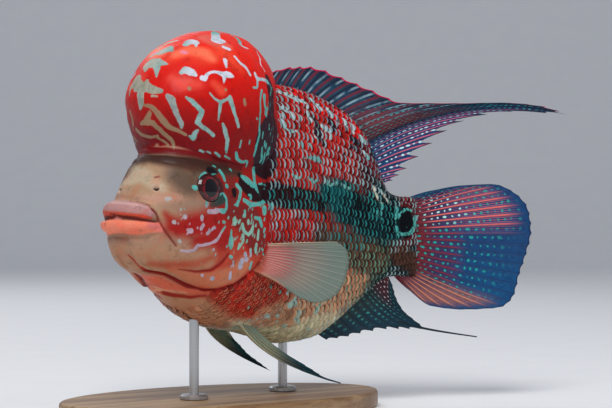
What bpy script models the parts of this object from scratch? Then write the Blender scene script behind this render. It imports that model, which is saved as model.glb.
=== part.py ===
"""A flowerhorn cichlid, life size, as a still museum model on a plain stand.

The fish is drawn straight first. There s runs tailward from the tip of the lips, y to the fish's right
and z up from the axis of the tail stalk. Each finished piece is then bent along the spine to the pose:
head turned to the fish's left, tail swept the same way.
"""

import math

import bmesh
import bpy
import numpy as np
from mathutils import Matrix, Vector

# The room left between pieces that touch.
GAP = 0.0003

# The pose: how far the spine turns from the X axis at the head, at the tail root and along the tail fin.
HEAD_TURN = math.radians(18)
TAIL_TURN = math.radians(-22)
FIN_TURN = math.radians(-28)
NECK_S = 0.055
TAIL_ROOT_S = 0.190
FIN_TURN_LENGTH = 0.080
SPINE_START = -0.02
SPINE_END = 0.34
SPINE_STEPS = 3601

# The stand: where its centre lies on the spine, and how high it holds the fish's axis.
STAND_S = 0.092
STAND_SHIFT_Y = -0.004
BASE_LENGTH = 0.170
BASE_WIDTH = 0.100
BASE_THICKNESS = 0.008
BASE_EDGE_ROUND = 0.0015
BASE_SIDES = 64
AXIS_HEIGHT = 0.081
ROD_RADIUS = 0.0022
ROD_FOOT_RADIUS = 0.0065
ROD_FOOT_HEIGHT = 0.0022
ROD_FOOT_CHAMFER = 0.0008
ROD_SIDES = 20
FRONT_ROD_S = 0.066
REAR_ROD_S = 0.126
ROD_TOP = -0.030

# Where the body is parted into head, trunk and tail stalk.
HEAD_END = 0.070
TRUNK_END = 0.166
RING_STEP = 0.0050
RING_POINTS = 36

# The body's stations: s, top, bottom, half width, height of the widest point, and how square the
# section is above and below that height (2 is an ellipse).
BODY = (
    (0.0110, 0.0142, -0.0010, 0.0062, 0.0050, 2.2, 2.2),
    (0.0130, 0.0152, -0.0055, 0.0085, 0.0045, 2.2, 2.2),
    (0.0160, 0.0175, -0.0092, 0.0108, 0.0042, 2.1, 2.2),
    (0.0200, 0.0216, -0.0120, 0.0134, 0.0042, 2.1, 2.2),
    (0.0240, 0.0262, -0.0138, 0.0157, 0.0046, 2.1, 2.2),
    (0.0290, 0.0322, -0.0156, 0.0180, 0.0050, 2.1, 2.2),
    (0.0350, 0.0392, -0.0184, 0.0204, 0.0056, 2.1, 2.2),
    (0.0440, 0.0462, -0.0244, 0.0230, 0.0056, 2.1, 2.2),
    (0.0550, 0.0520, -0.0312, 0.0254, 0.0052, 2.1, 2.2),
    (0.0650, 0.0565, -0.0370, 0.0268, 0.0050, 2.2, 2.2),
    (0.0800, 0.0625, -0.0415, 0.0282, 0.0052, 2.1, 2.2),
    (0.0950, 0.0688, -0.0438, 0.0286, 0.0056, 2.0, 2.2),
    (0.1100, 0.0720, -0.0474, 0.0278, 0.0058, 1.9, 2.1),
    (0.1220, 0.0722, -0.0502, 0.0262, 0.0056, 1.9, 2.0),
    (0.1320, 0.0708, -0.0498, 0.0242, 0.0050, 1.9, 1.9),
    (0.1430, 0.0680, -0.0478, 0.0215, 0.0045, 1.9, 1.9),
    (0.1540, 0.0632, -0.0415, 0.0182, 0.0036, 1.9, 1.9),
    (0.1630, 0.0576, -0.0342, 0.0152, 0.0026, 1.9, 1.9),
    (0.1700, 0.0500, -0.0285, 0.0130, 0.0016, 1.9, 1.9),
    (0.1750, 0.0398, -0.0242, 0.0114, 0.0008, 1.9, 1.9),
    (0.1790, 0.0284, -0.0213, 0.0102, 0.0000, 2.0, 2.0),
    (0.1830, 0.0213, -0.0197, 0.0091, 0.0000, 2.1, 2.1),
    (0.1890, 0.0192, -0.0195, 0.0072, 0.0000, 2.2, 2.2),
    (0.1940, 0.0190, -0.0200, 0.0048, 0.0000, 2.2, 2.2),
    (0.1975, 0.0180, -0.0202, 0.0022, 0.0000, 2.2, 2.2),
)

# The hump on the forehead: a ball that is squarer below its middle, where it hangs over the brow.
HUMP_CENTRE = (0.0720, 0.0, 0.0620)
HUMP_LENGTH = 0.0408
HUMP_HALF_WIDTH = 0.0306
HUMP_RISE = 0.0326
HUMP_DROP = 0.0430
HUMP_SQUARENESS = 2.7
HUMP_LEAN_UP = 0.0065
HUMP_LEAN_DOWN = 0.0095
HUMP_SEGMENTS = 32
HUMP_RINGS = 19

# Lips: arcs round the front of the mouth, each a tapered roll.
MOUTH_HEIGHT = 0.0128
MOUTH_SLOPE = -0.20
MOUTH_GAPE = 0.0007
MOUTH_CORNER_S = 0.0200
MOUTH_HALF_WIDTH = 0.0110
UPPER_LIP_S = 0.0118
UPPER_LIP_RADIUS = 0.0036
LOWER_LIP_S = 0.0106
LOWER_LIP_RADIUS = 0.0042
LIP_END_SHARE = 0.62
LIP_TURN = math.radians(118)
LIP_POINTS = 19
LIP_OFFSET = 0.78
SLIT_REACH = 0.0190
MOUTH_BLOCK_START = -0.010
MOUTH_BLOCK_END = 0.030
MOUTH_BLOCK_WIDTH = 0.030
MOUTH_BLOCK_HEIGHT = 0.020

# Eyes: low domes turned a little forward, in sockets.
EYE_S = 0.0470
EYE_HEIGHT = 0.0220
EYE_SINK = 0.0026
EYE_RADIUS = 0.0074
EYE_DEPTH = 0.0050
EYE_FORWARD = math.radians(20)
EYE_UPWARD = math.radians(8)
EYE_SEGMENTS = 22
EYE_RINGS = 12

NOSTRIL_S = 0.0243
NOSTRIL_HEIGHT = 0.0226
NOSTRIL_RADIUS = 0.0011
NOSTRIL_SEGMENTS = 10
NOSTRIL_RINGS = 6

# The gill cover's outline on the side of the head, as s and z, and how far it stands proud.
GILL_COVER = (
    (0.0560, 0.0262),
    (0.0655, 0.0275),
    (0.0740, 0.0190),
    (0.0792, 0.0060),
    (0.0765, -0.0050),
    (0.0712, -0.0140),
    (0.0640, -0.0220),
    (0.0530, -0.0262),
    (0.0420, -0.0235),
    (0.0345, -0.0170),
    (0.0420, -0.0125),
    (0.0488, -0.0060),
    (0.0520, 0.0060),
    (0.0530, 0.0170),
)
GILL_COVER_PROUD = 0.0012
GILL_COVER_INNER = 0.004
GILL_COVER_OUTER = 0.040

# Fin rays from the first to the last, each as its root, bend and tip. An unpaired fin's are s and z.
DORSAL_RAYS = (
    ((0.1080, 0.0690), (0.1102, 0.0734), (0.1142, 0.0762)),
    ((0.1210, 0.0690), (0.1243, 0.0755), (0.1295, 0.0806)),
    ((0.1310, 0.0680), (0.1353, 0.0757), (0.1420, 0.0813)),
    ((0.1420, 0.0650), (0.1494, 0.0725), (0.1590, 0.0767)),
    ((0.1530, 0.0600), (0.1631, 0.0671), (0.1750, 0.0706)),
    ((0.1615, 0.0550), (0.1761, 0.0618), (0.1920, 0.0648)),
    ((0.1662, 0.0502), (0.1909, 0.0618), (0.2180, 0.0650)),
    ((0.1682, 0.0478), (0.2041, 0.0653), (0.2440, 0.0656)),
    ((0.1696, 0.0456), (0.2146, 0.0688), (0.2650, 0.0638)),
    ((0.1704, 0.0444), (0.2205, 0.0704), (0.2760, 0.0600)),
    ((0.1714, 0.0426), (0.2071, 0.0628), (0.2480, 0.0612)),
    ((0.1730, 0.0392), (0.1966, 0.0521), (0.2230, 0.0566)),
    ((0.1745, 0.0345), (0.1896, 0.0423), (0.2062, 0.0455)),
    ((0.1760, 0.0290), (0.1840, 0.0322), (0.1925, 0.0330)),
    ((0.1775, 0.0245), (0.1811, 0.0263), (0.1850, 0.0270)),
)
ANAL_RAYS = (
    ((0.1430, -0.0440), (0.1463, -0.0474), (0.1505, -0.0496)),
    ((0.1490, -0.0410), (0.1544, -0.0458), (0.1610, -0.0486)),
    ((0.1570, -0.0350), (0.1635, -0.0420), (0.1720, -0.0464)),
    ((0.1640, -0.0295), (0.1715, -0.0395), (0.1840, -0.0452)),
    ((0.1690, -0.0260), (0.1788, -0.0388), (0.1945, -0.0454)),
    ((0.1715, -0.0238), (0.1825, -0.0375), (0.2030, -0.0456)),
    ((0.1745, -0.0215), (0.1838, -0.0345), (0.1970, -0.0412)),
    ((0.1775, -0.0190), (0.1829, -0.0293), (0.1912, -0.0368)),
    ((0.1800, -0.0178), (0.1827, -0.0243), (0.1868, -0.0300)),
    ((0.1820, -0.0172), (0.1831, -0.0208), (0.1850, -0.0240)),
)
CAUDAL_RAYS = (
    ((0.1880, 0.0165), (0.1957, 0.0200), (0.2040, 0.0219)),
    ((0.1900, 0.0150), (0.2050, 0.0214), (0.2210, 0.0247)),
    ((0.1915, 0.0130), (0.2137, 0.0211), (0.2370, 0.0254)),
    ((0.1925, 0.0105), (0.2205, 0.0174), (0.2490, 0.0212)),
    ((0.1935, 0.0065), (0.2247, 0.0103), (0.2560, 0.0125)),
    ((0.1940, 0.0015), (0.2256, 0.0018), (0.2572, 0.0020)),
    ((0.1940, -0.0035), (0.2245, -0.0066), (0.2550, -0.0090)),
    ((0.1935, -0.0085), (0.2224, -0.0148), (0.2515, -0.0195)),
    ((0.1925, -0.0125), (0.2198, -0.0228), (0.2480, -0.0300)),
    ((0.1905, -0.0150), (0.2145, -0.0271), (0.2400, -0.0356)),
    ((0.1885, -0.0165), (0.2050, -0.0278), (0.2230, -0.0364)),
    ((0.1865, -0.0172), (0.1955, -0.0267), (0.2060, -0.0345)),
    ((0.1845, -0.0178), (0.1883, -0.0223), (0.1930, -0.0260)),
)
# A paired fin's are s, distance from the middle of the fish, and z.
PECTORAL_RAYS = (
    ((0.0790, 0.0225, -0.0030), (0.0880, 0.0330, -0.0020), (0.1290, 0.0400, -0.0018)),
    ((0.0792, 0.0225, -0.0046), (0.0890, 0.0335, -0.0036), (0.1362, 0.0405, -0.0060)),
    ((0.0792, 0.0225, -0.0064), (0.0890, 0.0340, -0.0066), (0.1378, 0.0410, -0.0120)),
    ((0.0788, 0.0225, -0.0082), (0.0886, 0.0342, -0.0096), (0.1345, 0.0410, -0.0195)),
    ((0.0782, 0.0225, -0.0098), (0.0874, 0.0342, -0.0122), (0.1260, 0.0405, -0.0268)),
    ((0.0774, 0.0225, -0.0112), (0.0856, 0.0340, -0.0144), (0.1130, 0.0395, -0.0296)),
    ((0.0764, 0.0225, -0.0124), (0.0830, 0.0335, -0.0158), (0.0990, 0.0380, -0.0266)),
    ((0.0752, 0.0225, -0.0134), (0.0800, 0.0325, -0.0166), (0.0880, 0.0360, -0.0222)),
)
LEFT_PELVIC_RAYS = (
    ((0.0850, 0.0095, -0.0360), (0.0915, 0.0165, -0.0545), (0.1400, 0.0182, -0.0668)),
    ((0.0870, 0.0090, -0.0362), (0.0965, 0.0160, -0.0510), (0.1350, 0.0180, -0.0642)),
    ((0.0895, 0.0085, -0.0366), (0.1000, 0.0145, -0.0485), (0.1262, 0.0170, -0.0598)),
    ((0.0920, 0.0080, -0.0370), (0.1020, 0.0125, -0.0472), (0.1150, 0.0148, -0.0545)),
    ((0.0945, 0.0072, -0.0374), (0.1022, 0.0100, -0.0460), (0.1075, 0.0115, -0.0498)),
)
# The long soft rays of two fins run on past the margin as filaments, each through these places.
ANAL_FILAMENT = (
    (0.1880, 0.0000, -0.0414),
    (0.1960, 0.0000, -0.0439),
    (0.2040, 0.0000, -0.0457),
    (0.2160, 0.0000, -0.0478),
    (0.2290, 0.0000, -0.0498),
)
LEFT_PELVIC_FILAMENT = (
    (0.1240, 0.0176, -0.0626),
    (0.1320, 0.0180, -0.0648),
    (0.1400, 0.0181, -0.0669),
    (0.1486, 0.0180, -0.0690),
)
FILAMENT_ROOT = 0.0009
FILAMENT_TIP = 0.0004
RIGHT_PELVIC_RAYS = (
    ((0.0850, 0.0095, -0.0360), (0.0890, 0.0150, -0.0470), (0.1289, 0.0140, -0.0647)),
    ((0.0870, 0.0090, -0.0362), (0.0940, 0.0145, -0.0465), (0.1240, 0.0138, -0.0612)),
    ((0.0895, 0.0085, -0.0366), (0.0980, 0.0132, -0.0462), (0.1170, 0.0132, -0.0566)),
    ((0.0920, 0.0080, -0.0370), (0.1005, 0.0115, -0.0460), (0.1110, 0.0122, -0.0518)),
    ((0.0945, 0.0072, -0.0374), (0.1015, 0.0095, -0.0458), (0.1060, 0.0104, -0.0492)),
)

# Half thicknesses of a fin: its rays at root and tip, and the membrane between them.
RAY_ROOT = 0.00105
RAY_TIP = 0.00045
SPINE_ROOT = 0.00125
MEMBRANE_ROOT = 0.00060
MEMBRANE_TIP = 0.00026
# A fleshy root's extra half thickness, and the share of the fin's length it takes.
PECTORAL_LOBE = 0.0016
PELVIC_LOBE = 0.0008
LOBE_SHARE = 0.28
# How far a fin's margin draws back between two ray tips, as a share of the ray.
SPINY_NOTCH = 0.04
PELVIC_NOTCH = 0.03
SOFT_NOTCH = 0.02

for old in list(bpy.data.objects):
    bpy.data.objects.remove(old, do_unlink=True)
model = bpy.data.collections.new("flowerhorn_cichlid")
tools = bpy.data.collections.new("cutters")
tools.hide_render = True
bpy.context.scene.collection.children.link(model)
bpy.context.scene.collection.children.link(tools)


def material(name, colour, roughness, metallic=0.0):
    finish = bpy.data.materials.new(name)
    finish.use_nodes = True
    shader = finish.node_tree.nodes["Principled BSDF"]
    shader.inputs["Base Color"].default_value = (*colour, 1.0)
    shader.inputs["Roughness"].default_value = roughness
    shader.inputs["Metallic"].default_value = metallic
    return finish


def between(keys, values, at):
    """A smooth curve through the values that never swings past them (monotone cubic)."""
    keys = np.asarray(keys, float)
    values = np.asarray(values, float)
    at = np.clip(np.asarray(at, float), keys[0], keys[-1])
    step = np.diff(keys)
    slope = np.diff(values) / step
    tangent = np.zeros_like(values)
    same_way = slope[:-1] * slope[1:] > 0
    near = 2 * step[1:] + step[:-1]
    far = step[1:] + 2 * step[:-1]
    before = np.where(same_way, slope[:-1], 1.0)
    after = np.where(same_way, slope[1:], 1.0)
    tangent[1:-1] = np.where(same_way, (near + far) / (near / before + far / after), 0.0)
    tangent[0] = slope[0]
    tangent[-1] = slope[-1]
    i = np.clip(np.searchsorted(keys, at, side="right") - 1, 0, len(step) - 1)
    t = (at - keys[i]) / step[i]
    start = values[i] * (1 + 2 * t) * (1 - t) ** 2 + values[i + 1] * t * t * (3 - 2 * t)
    return start + step[i] * (tangent[i] * t * (1 - t) ** 2 - tangent[i + 1] * t * t * (1 - t))


def spine_turn(s):
    """The spine's heading at s: one smooth turn from neck to tail root, then a slow one along the fin."""
    t = np.clip((s - NECK_S) / (TAIL_ROOT_S - NECK_S), 0, 1)
    body = HEAD_TURN + (TAIL_TURN - HEAD_TURN) * t * t * (3 - 2 * t)
    past = np.clip((s - TAIL_ROOT_S) / FIN_TURN_LENGTH, 0, 1.5)
    return body + (FIN_TURN - TAIL_TURN) * past


SPINE_S = np.linspace(SPINE_START, SPINE_END, SPINE_STEPS)
SPINE_TURN = spine_turn(SPINE_S)
SPINE_STEP = SPINE_S[1] - SPINE_S[0]
MEAN_TURN = (SPINE_TURN[1:] + SPINE_TURN[:-1]) / 2
SPINE_X = np.concatenate([[0], np.cumsum(np.cos(MEAN_TURN) * SPINE_STEP)])
SPINE_Y = np.concatenate([[0], np.cumsum(np.sin(MEAN_TURN) * SPINE_STEP)])
SPINE_X = SPINE_X - np.interp(STAND_S, SPINE_S, SPINE_X)
SPINE_Y = SPINE_Y - np.interp(STAND_S, SPINE_S, SPINE_Y) + STAND_SHIFT_Y


def posed(points):
    """Straight-fish points carried to the bent spine, above the middle of the stand."""
    s, y, z = np.asarray(points, float).T
    x0 = np.interp(s, SPINE_S, SPINE_X)
    y0 = np.interp(s, SPINE_S, SPINE_Y)
    turn = np.interp(s, SPINE_S, SPINE_TURN)
    return np.stack([x0 - np.sin(turn) * y, y0 + np.cos(turn) * y, z + AXIS_HEIGHT], axis=1)


def body_at(s):
    """Top, bottom, half width, widest height and the two squarenesses of the body at s."""
    table = np.array(BODY)
    return [between(table[:, 0], table[:, k], s) for k in range(1, 7)]


def body_ring(s):
    """The points of one section of the body."""
    top, bottom, half, widest, square_up, square_down = body_at(s)
    angle = np.linspace(0, 2 * math.pi, RING_POINTS, endpoint=False) + math.pi / 2
    across = np.cos(angle)
    up = np.sin(angle)
    power = np.where(up > 0, 2 / square_up, 2 / square_down)
    y = half * np.sign(across) * np.abs(across) ** power
    reach = np.where(up > 0, top - widest, widest - bottom)
    z = widest + reach * np.sign(up) * np.abs(up) ** power
    return np.stack([np.full(RING_POINTS, s), y, z], axis=1)


def flank_at(s, z):
    """How far the body's surface is from its middle at s and z."""
    top, bottom, half, widest, square_up, square_down = body_at(s)
    reach, power = (top - widest, square_up) if z > widest else (widest - bottom, square_down)
    return float(half * (1 - (abs(z - widest) / reach) ** power) ** (1 / power))


def new_object(name, mesh, collection):
    thing = bpy.data.objects.new(name, mesh)
    collection.objects.link(thing)
    if collection is tools:
        thing.hide_render = True
        thing.display_type = "WIRE"
    return thing


def mesh_of(name, points, faces):
    """A mesh with its faces turned outward."""
    mesh = bpy.data.meshes.new(name)
    mesh.from_pydata([tuple(p) for p in points], [], faces)
    work = bmesh.new()
    work.from_mesh(mesh)
    bmesh.ops.recalc_face_normals(work, faces=work.faces)
    work.to_mesh(mesh)
    work.free()
    return mesh


def body_length(name, start, end, collection=tools):
    """A length of the body, lofted through its sections."""
    rings = max(2, round((end - start) / RING_STEP) + 1)
    points = np.concatenate([body_ring(s) for s in np.linspace(start, end, rings)])
    n = RING_POINTS
    faces = [list(range(n)), list(range((rings - 1) * n, rings * n))]
    for r in range(rings - 1):
        for k in range(n):
            m = (k + 1) % n
            faces.append([r * n + k, r * n + m, (r + 1) * n + m, (r + 1) * n + k])
    return new_object(name, mesh_of(name, points, faces), collection)


def grown(source, distance):
    """A cutter the shape of another solid, larger by this distance all round."""
    mesh = source.data.copy()
    normals = [v.normal.copy() for v in mesh.vertices]
    for vertex, normal in zip(mesh.vertices, normals):
        vertex.co += normal * distance
    return new_object(source.name + "_grown", mesh, tools)


def keep_largest(mesh):
    """Drops all but the largest closed surface of a mesh."""
    work = bmesh.new()
    work.from_mesh(mesh)
    left = set(work.verts)
    groups = []
    while left:
        front = [left.pop()]
        group = list(front)
        while front:
            around = {e.other_vert(front[-1]) for e in front[-1].link_edges} & left
            front.pop()
            left -= around
            front.extend(around)
            group.extend(around)
        groups.append(group)
    groups.sort(key=lambda g: sum(f.calc_area() for f in {f for v in g for f in v.link_faces}))
    loose = [v for g in groups[:-1] for v in g]
    bmesh.ops.delete(work, geom=loose, context="VERTS")
    work.to_mesh(mesh)
    work.free()


def baked(thing):
    """The object's mesh with its modifiers applied."""
    graph = bpy.context.evaluated_depsgraph_get()
    mesh = bpy.data.meshes.new_from_object(thing.evaluated_get(graph))
    thing.modifiers.clear()
    thing.data = mesh
    return thing


def combine(thing, operation, *others):
    """Cuts, joins or trims an object by others, and keeps its largest closed surface."""
    for other in others:
        step = thing.modifiers.new(other.name, "BOOLEAN")
        step.operation = operation
        step.solver = "EXACT"
        step.object = other
    baked(thing)
    keep_largest(thing.data)
    return thing


def cut(thing, *others):
    return combine(thing, "DIFFERENCE", *others)


def ball(name, place, radii, segments, rings, turn=None, collection=tools):
    """An ellipsoid from a sphere, turned about its centre."""
    work = bmesh.new()
    bmesh.ops.create_uvsphere(work, u_segments=segments, v_segments=rings, radius=1.0)
    matrix = Matrix.Translation(Vector(place)) @ (turn or Matrix()) @ Matrix.Diagonal((*radii, 1.0))
    bmesh.ops.transform(work, matrix=matrix, verts=work.verts)
    mesh = bpy.data.meshes.new(name)
    work.to_mesh(mesh)
    work.free()
    return new_object(name, mesh, collection)


def solid_from_curve(name, curve, matrix, collection=tools):
    """A curve made into a closed mesh, with its caps welded."""
    guide = new_object(name + "_guide", curve, tools)
    guide.matrix_world = matrix
    bpy.context.view_layer.update()
    graph = bpy.context.evaluated_depsgraph_get()
    mesh = bpy.data.meshes.new_from_object(guide.evaluated_get(graph))
    mesh.transform(matrix)
    work = bmesh.new()
    work.from_mesh(mesh)
    bmesh.ops.remove_doubles(work, verts=work.verts, dist=0.000001)
    bmesh.ops.recalc_face_normals(work, faces=work.faces)
    work.to_mesh(mesh)
    work.free()
    bpy.data.objects.remove(guide, do_unlink=True)
    return new_object(name, mesh, collection)


def roll(name, points, radii, collection):
    """A tapered roll along a line of points."""
    curve = bpy.data.curves.new(name, "CURVE")
    curve.dimensions = "3D"
    curve.bevel_depth = 1.0
    curve.bevel_resolution = 3
    curve.use_fill_caps = True
    line = curve.splines.new("POLY")
    line.points.add(len(points) - 1)
    for knot, place, radius in zip(line.points, points, radii):
        knot.co = (*place, 1.0)
        knot.radius = radius
    return solid_from_curve(name, curve, Matrix(), collection)


def slab(name, outline, inner, outer):
    """A smooth outline in s and z, extruded across the fish from inner to outer."""
    curve = bpy.data.curves.new(name, "CURVE")
    curve.dimensions = "2D"
    curve.fill_mode = "BOTH"
    curve.extrude = (outer - inner) / 2
    curve.resolution_u = 4
    line = curve.splines.new("BEZIER")
    line.bezier_points.add(len(outline) - 1)
    for knot, (s, z) in zip(line.bezier_points, outline):
        knot.co = (s, z, 0)
        knot.handle_left_type = "AUTO"
        knot.handle_right_type = "AUTO"
    line.use_cyclic_u = True
    stand_up = Matrix.Rotation(math.pi / 2, 4, "X")
    aside = Matrix.Translation((0, (inner + outer) / 2, 0))
    return solid_from_curve(name, curve, aside @ stand_up)


def box(name, low, high):
    work = bmesh.new()
    bmesh.ops.create_cube(work, size=1.0)
    size = Vector(high) - Vector(low)
    matrix = Matrix.Translation((Vector(high) + Vector(low)) / 2) @ Matrix.Diagonal((*size, 1.0))
    bmesh.ops.transform(work, matrix=matrix, verts=work.verts)
    mesh = bpy.data.meshes.new(name)
    work.to_mesh(mesh)
    work.free()
    return new_object(name, mesh, tools)


def mirrored(rays):
    """A right fin's rays on the left side."""
    return [[(s, -y, z) for s, y, z in ray] for ray in rays]


def upright(rays):
    """An unpaired fin's rays in the middle plane of the fish."""
    return [[(s, 0.0, z) for s, z in ray] for ray in rays]


def fin(name, key_rays, ray_count, rows, ray_root, notch, lobe=0.0):
    """A fin: a sheet whose rays are ridges in its own surface, on both faces."""
    keys = np.linspace(0, 1, len(key_rays))
    columns = 2 * ray_count - 1
    across = np.linspace(0, 1, columns)
    rays = np.array(key_rays)
    line = np.zeros((columns, 3, 3))
    for part in range(3):
        for axis in range(3):
            line[:, part, axis] = between(keys, rays[:, part, axis], across)
    is_ray = np.arange(columns) % 2 == 0
    reach = np.where(is_ray, 1.0, 1.0 - notch)
    along = np.linspace(0, 1, rows + 1)[None, :] * reach[:, None]
    t = along[:, :, None]
    root, bend, tip = line[:, None, 0], line[:, None, 1], line[:, None, 2]
    sheet = root * (1 - t) ** 2 + 2 * bend * t * (1 - t) + tip * t * t
    down = np.gradient(sheet, axis=1)
    side = np.gradient(sheet, axis=0)
    normal = np.cross(side, down)
    normal = normal / np.linalg.norm(normal, axis=2, keepdims=True)
    ridge = ray_root + (RAY_TIP - ray_root) * along
    valley = MEMBRANE_ROOT + (MEMBRANE_TIP - MEMBRANE_ROOT) * np.clip(along * 2, 0, 1)
    half = np.where(is_ray[:, None], ridge, valley)
    half = half + lobe * np.clip(1 - along / LOBE_SHARE, 0, 1) ** 2
    near = (sheet + normal * half[:, :, None]).reshape(-1, 3)
    far = (sheet - normal * half[:, :, None]).reshape(-1, 3)
    total = len(near)
    width = rows + 1
    faces = []
    for c in range(columns - 1):
        for r in range(rows):
            a = c * width + r
            b = a + width
            one_way = np.linalg.norm(sheet[c, r] - sheet[c + 1, r + 1])
            other_way = np.linalg.norm(sheet[c + 1, r] - sheet[c, r + 1])
            halves = [[a, b, b + 1], [a, b + 1, a + 1]]
            if other_way < one_way:
                halves = [[a, b, a + 1], [b, b + 1, a + 1]]
            faces += halves
            faces += [[k + total for k in reversed(half_cell)] for half_cell in halves]
    rim = [c * width for c in range(columns)]
    rim += [(columns - 1) * width + r for r in range(1, width)]
    rim += [c * width + rows for c in range(columns - 2, -1, -1)]
    rim += [r for r in range(rows - 1, 0, -1)]
    for k, a in enumerate(rim):
        b = rim[(k + 1) % len(rim)]
        faces += [[a, a + total, b + total], [a, b + total, b]]
    return new_object(name, mesh_of(name, np.concatenate([near, far]), faces), model)


def finish(thing, look, place=True):
    """Splits an object into triangles, bends it to the pose and gives it its material."""
    work = bmesh.new()
    work.from_mesh(thing.data)
    bmesh.ops.triangulate(work, faces=work.faces)
    work.to_mesh(thing.data)
    work.free()
    if place:
        points = posed([v.co for v in thing.data.vertices])
        thing.data.vertices.foreach_set("co", points.astype(np.float32).ravel())
    thing.data.materials.clear()
    thing.data.materials.append(look)
    thing.data.shade_smooth()
    thing.data.set_sharp_from_angle(angle=math.radians(40))
    thing.data.update()


SKIN = material("spotted_skin", (0.55, 0.16, 0.10), 0.35)
RED = material("hump_skin", (0.75, 0.08, 0.05), 0.30)
LIP = material("lip_flesh", (0.80, 0.35, 0.30), 0.40)
EYE = material("eye", (0.20, 0.02, 0.02), 0.08)
FIN = material("fin_membrane", (0.08, 0.12, 0.18), 0.40)
PALE_FIN = material("pale_fin_membrane", (0.65, 0.45, 0.45), 0.40)
WOOD = material("stand_wood", (0.55, 0.42, 0.28), 0.50)
STEEL = material("stand_steel", (0.60, 0.60, 0.60), 0.30, 1.0)

# The whole body as one cutter, larger by the gap, for all that sits on it.
whole_body = body_length("whole_body", BODY[0][0], BODY[-1][0])
clear_body = grown(whole_body, GAP)

# Head, trunk and tail stalk.
head = body_length("head", BODY[0][0], HEAD_END, model)
trunk = body_length("trunk", HEAD_END + GAP, TRUNK_END, model)
tail_stalk = body_length("tail_stalk", TRUNK_END + GAP, BODY[-1][0], model)


def hump_solid():
    """The hump before it is fitted to the head."""
    hump = ball("nuchal_hump", (0, 0, 0), (1, 1, 1), HUMP_SEGMENTS, HUMP_RINGS, collection=model)
    for vertex in hump.data.vertices:
        x, y, z = vertex.co
        flat = math.hypot(x, y)
        if z < 0 and flat > 1e-6:
            fuller = (1 - min(1.0, -z) ** HUMP_SQUARENESS) ** (1 / HUMP_SQUARENESS)
            x, y = x / flat * fuller, y / flat * fuller
        height = z * (HUMP_RISE if z > 0 else HUMP_DROP)
        lean = z * HUMP_LEAN_UP if z > 0 else -z * HUMP_LEAN_DOWN
        vertex.co = (x * HUMP_LENGTH + lean, y * HUMP_HALF_WIDTH, height)
        vertex.co += Vector(HUMP_CENTRE)
    hump.data.update()
    return hump


nuchal_hump = cut(hump_solid(), clear_body)
clear_hump = grown(nuchal_hump, GAP)

# The lips, parted by the line of the mouth.
mouth_plane = Matrix.Rotation(-math.atan(MOUTH_SLOPE), 4, "Y")


def mouth_block(name, end, low, high):
    """A block that reaches from before the lips to end, sloped with the line of the mouth."""
    block = box(name, (MOUTH_BLOCK_START, -MOUTH_BLOCK_WIDTH, low), (end, MOUTH_BLOCK_WIDTH, high))
    block.data.transform(mouth_plane)
    block.data.transform(Matrix.Translation((0, 0, MOUTH_HEIGHT)))
    return block


def lip(name, front, radius, side, keep_out):
    """One lip: a roll round the mouth, thickest in front, cut flat where the lips meet."""
    points = []
    radii = []
    for angle in np.linspace(-LIP_TURN, LIP_TURN, LIP_POINTS):
        s = MOUTH_CORNER_S - (MOUTH_CORNER_S - front) * math.cos(angle)
        share = LIP_END_SHARE + (1 - LIP_END_SHARE) * math.cos(angle)
        y = MOUTH_HALF_WIDTH * math.sin(angle)
        z = MOUTH_HEIGHT + MOUTH_SLOPE * s + side * LIP_OFFSET * radius * share
        points.append((s, y, z))
        radii.append(radius * share)
    return cut(roll(name, points, radii, model), keep_out, clear_body)


below_mouth = mouth_block("below_mouth", MOUTH_BLOCK_END, -MOUTH_BLOCK_HEIGHT, MOUTH_GAPE / 2)
above_mouth = mouth_block("above_mouth", MOUTH_BLOCK_END, -MOUTH_GAPE / 2, MOUTH_BLOCK_HEIGHT)
upper_lip = lip("upper_lip", UPPER_LIP_S, UPPER_LIP_RADIUS, 1, below_mouth)
lower_lip = lip("lower_lip", LOWER_LIP_S, LOWER_LIP_RADIUS, -1, above_mouth)

# The slit of the mouth, the eye sockets and the nostrils in the head.
slit = mouth_block("mouth_slit", SLIT_REACH, -MOUTH_GAPE / 2, MOUTH_GAPE / 2)
hollows = [slit]
sockets = []
eyes = []
for side_name, side in (("left", -1), ("right", 1)):
    turn = Matrix.Rotation(side * EYE_FORWARD, 4, "Z") @ Matrix.Rotation(side * EYE_UPWARD, 4, "X")
    turn = turn @ Matrix.Rotation(math.pi / 2, 4, "X")
    place = (EYE_S, side * (flank_at(EYE_S, EYE_HEIGHT) - EYE_SINK), EYE_HEIGHT)
    radii = (EYE_RADIUS, EYE_RADIUS, EYE_DEPTH)
    eyes.append(ball("eye_" + side_name, place, radii, EYE_SEGMENTS, EYE_RINGS, turn, model))
    socket_radii = tuple(r + GAP for r in radii)
    sockets.append(ball("socket_" + side_name, place, socket_radii, EYE_SEGMENTS, EYE_RINGS, turn))
    hole = (NOSTRIL_S, side * flank_at(NOSTRIL_S, NOSTRIL_HEIGHT), NOSTRIL_HEIGHT)
    hollows.append(ball("nostril_" + side_name, hole, (NOSTRIL_RADIUS,) * 3, NOSTRIL_SEGMENTS, NOSTRIL_RINGS))
cut(head, *hollows, *sockets)

# The gill covers: thin plates over the cheek and shoulder.
gill_covers = []
for side_name, side in (("left", -1), ("right", 1)):
    edges = sorted((side * GILL_COVER_INNER, side * GILL_COVER_OUTER))
    window = slab("gill_window_" + side_name, GILL_COVER, *edges)
    cover = grown(body_length("cover_form_" + side_name, BODY[0][0], TRUNK_END), GILL_COVER_PROUD)
    cover.name = "gill_cover_" + side_name
    tools.objects.unlink(cover)
    model.objects.link(cover)
    cover.hide_render = False
    cover.display_type = "TEXTURED"
    combine(cover, "INTERSECT", window)
    gill_covers.append(cut(cover, clear_body, *sockets))

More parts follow.
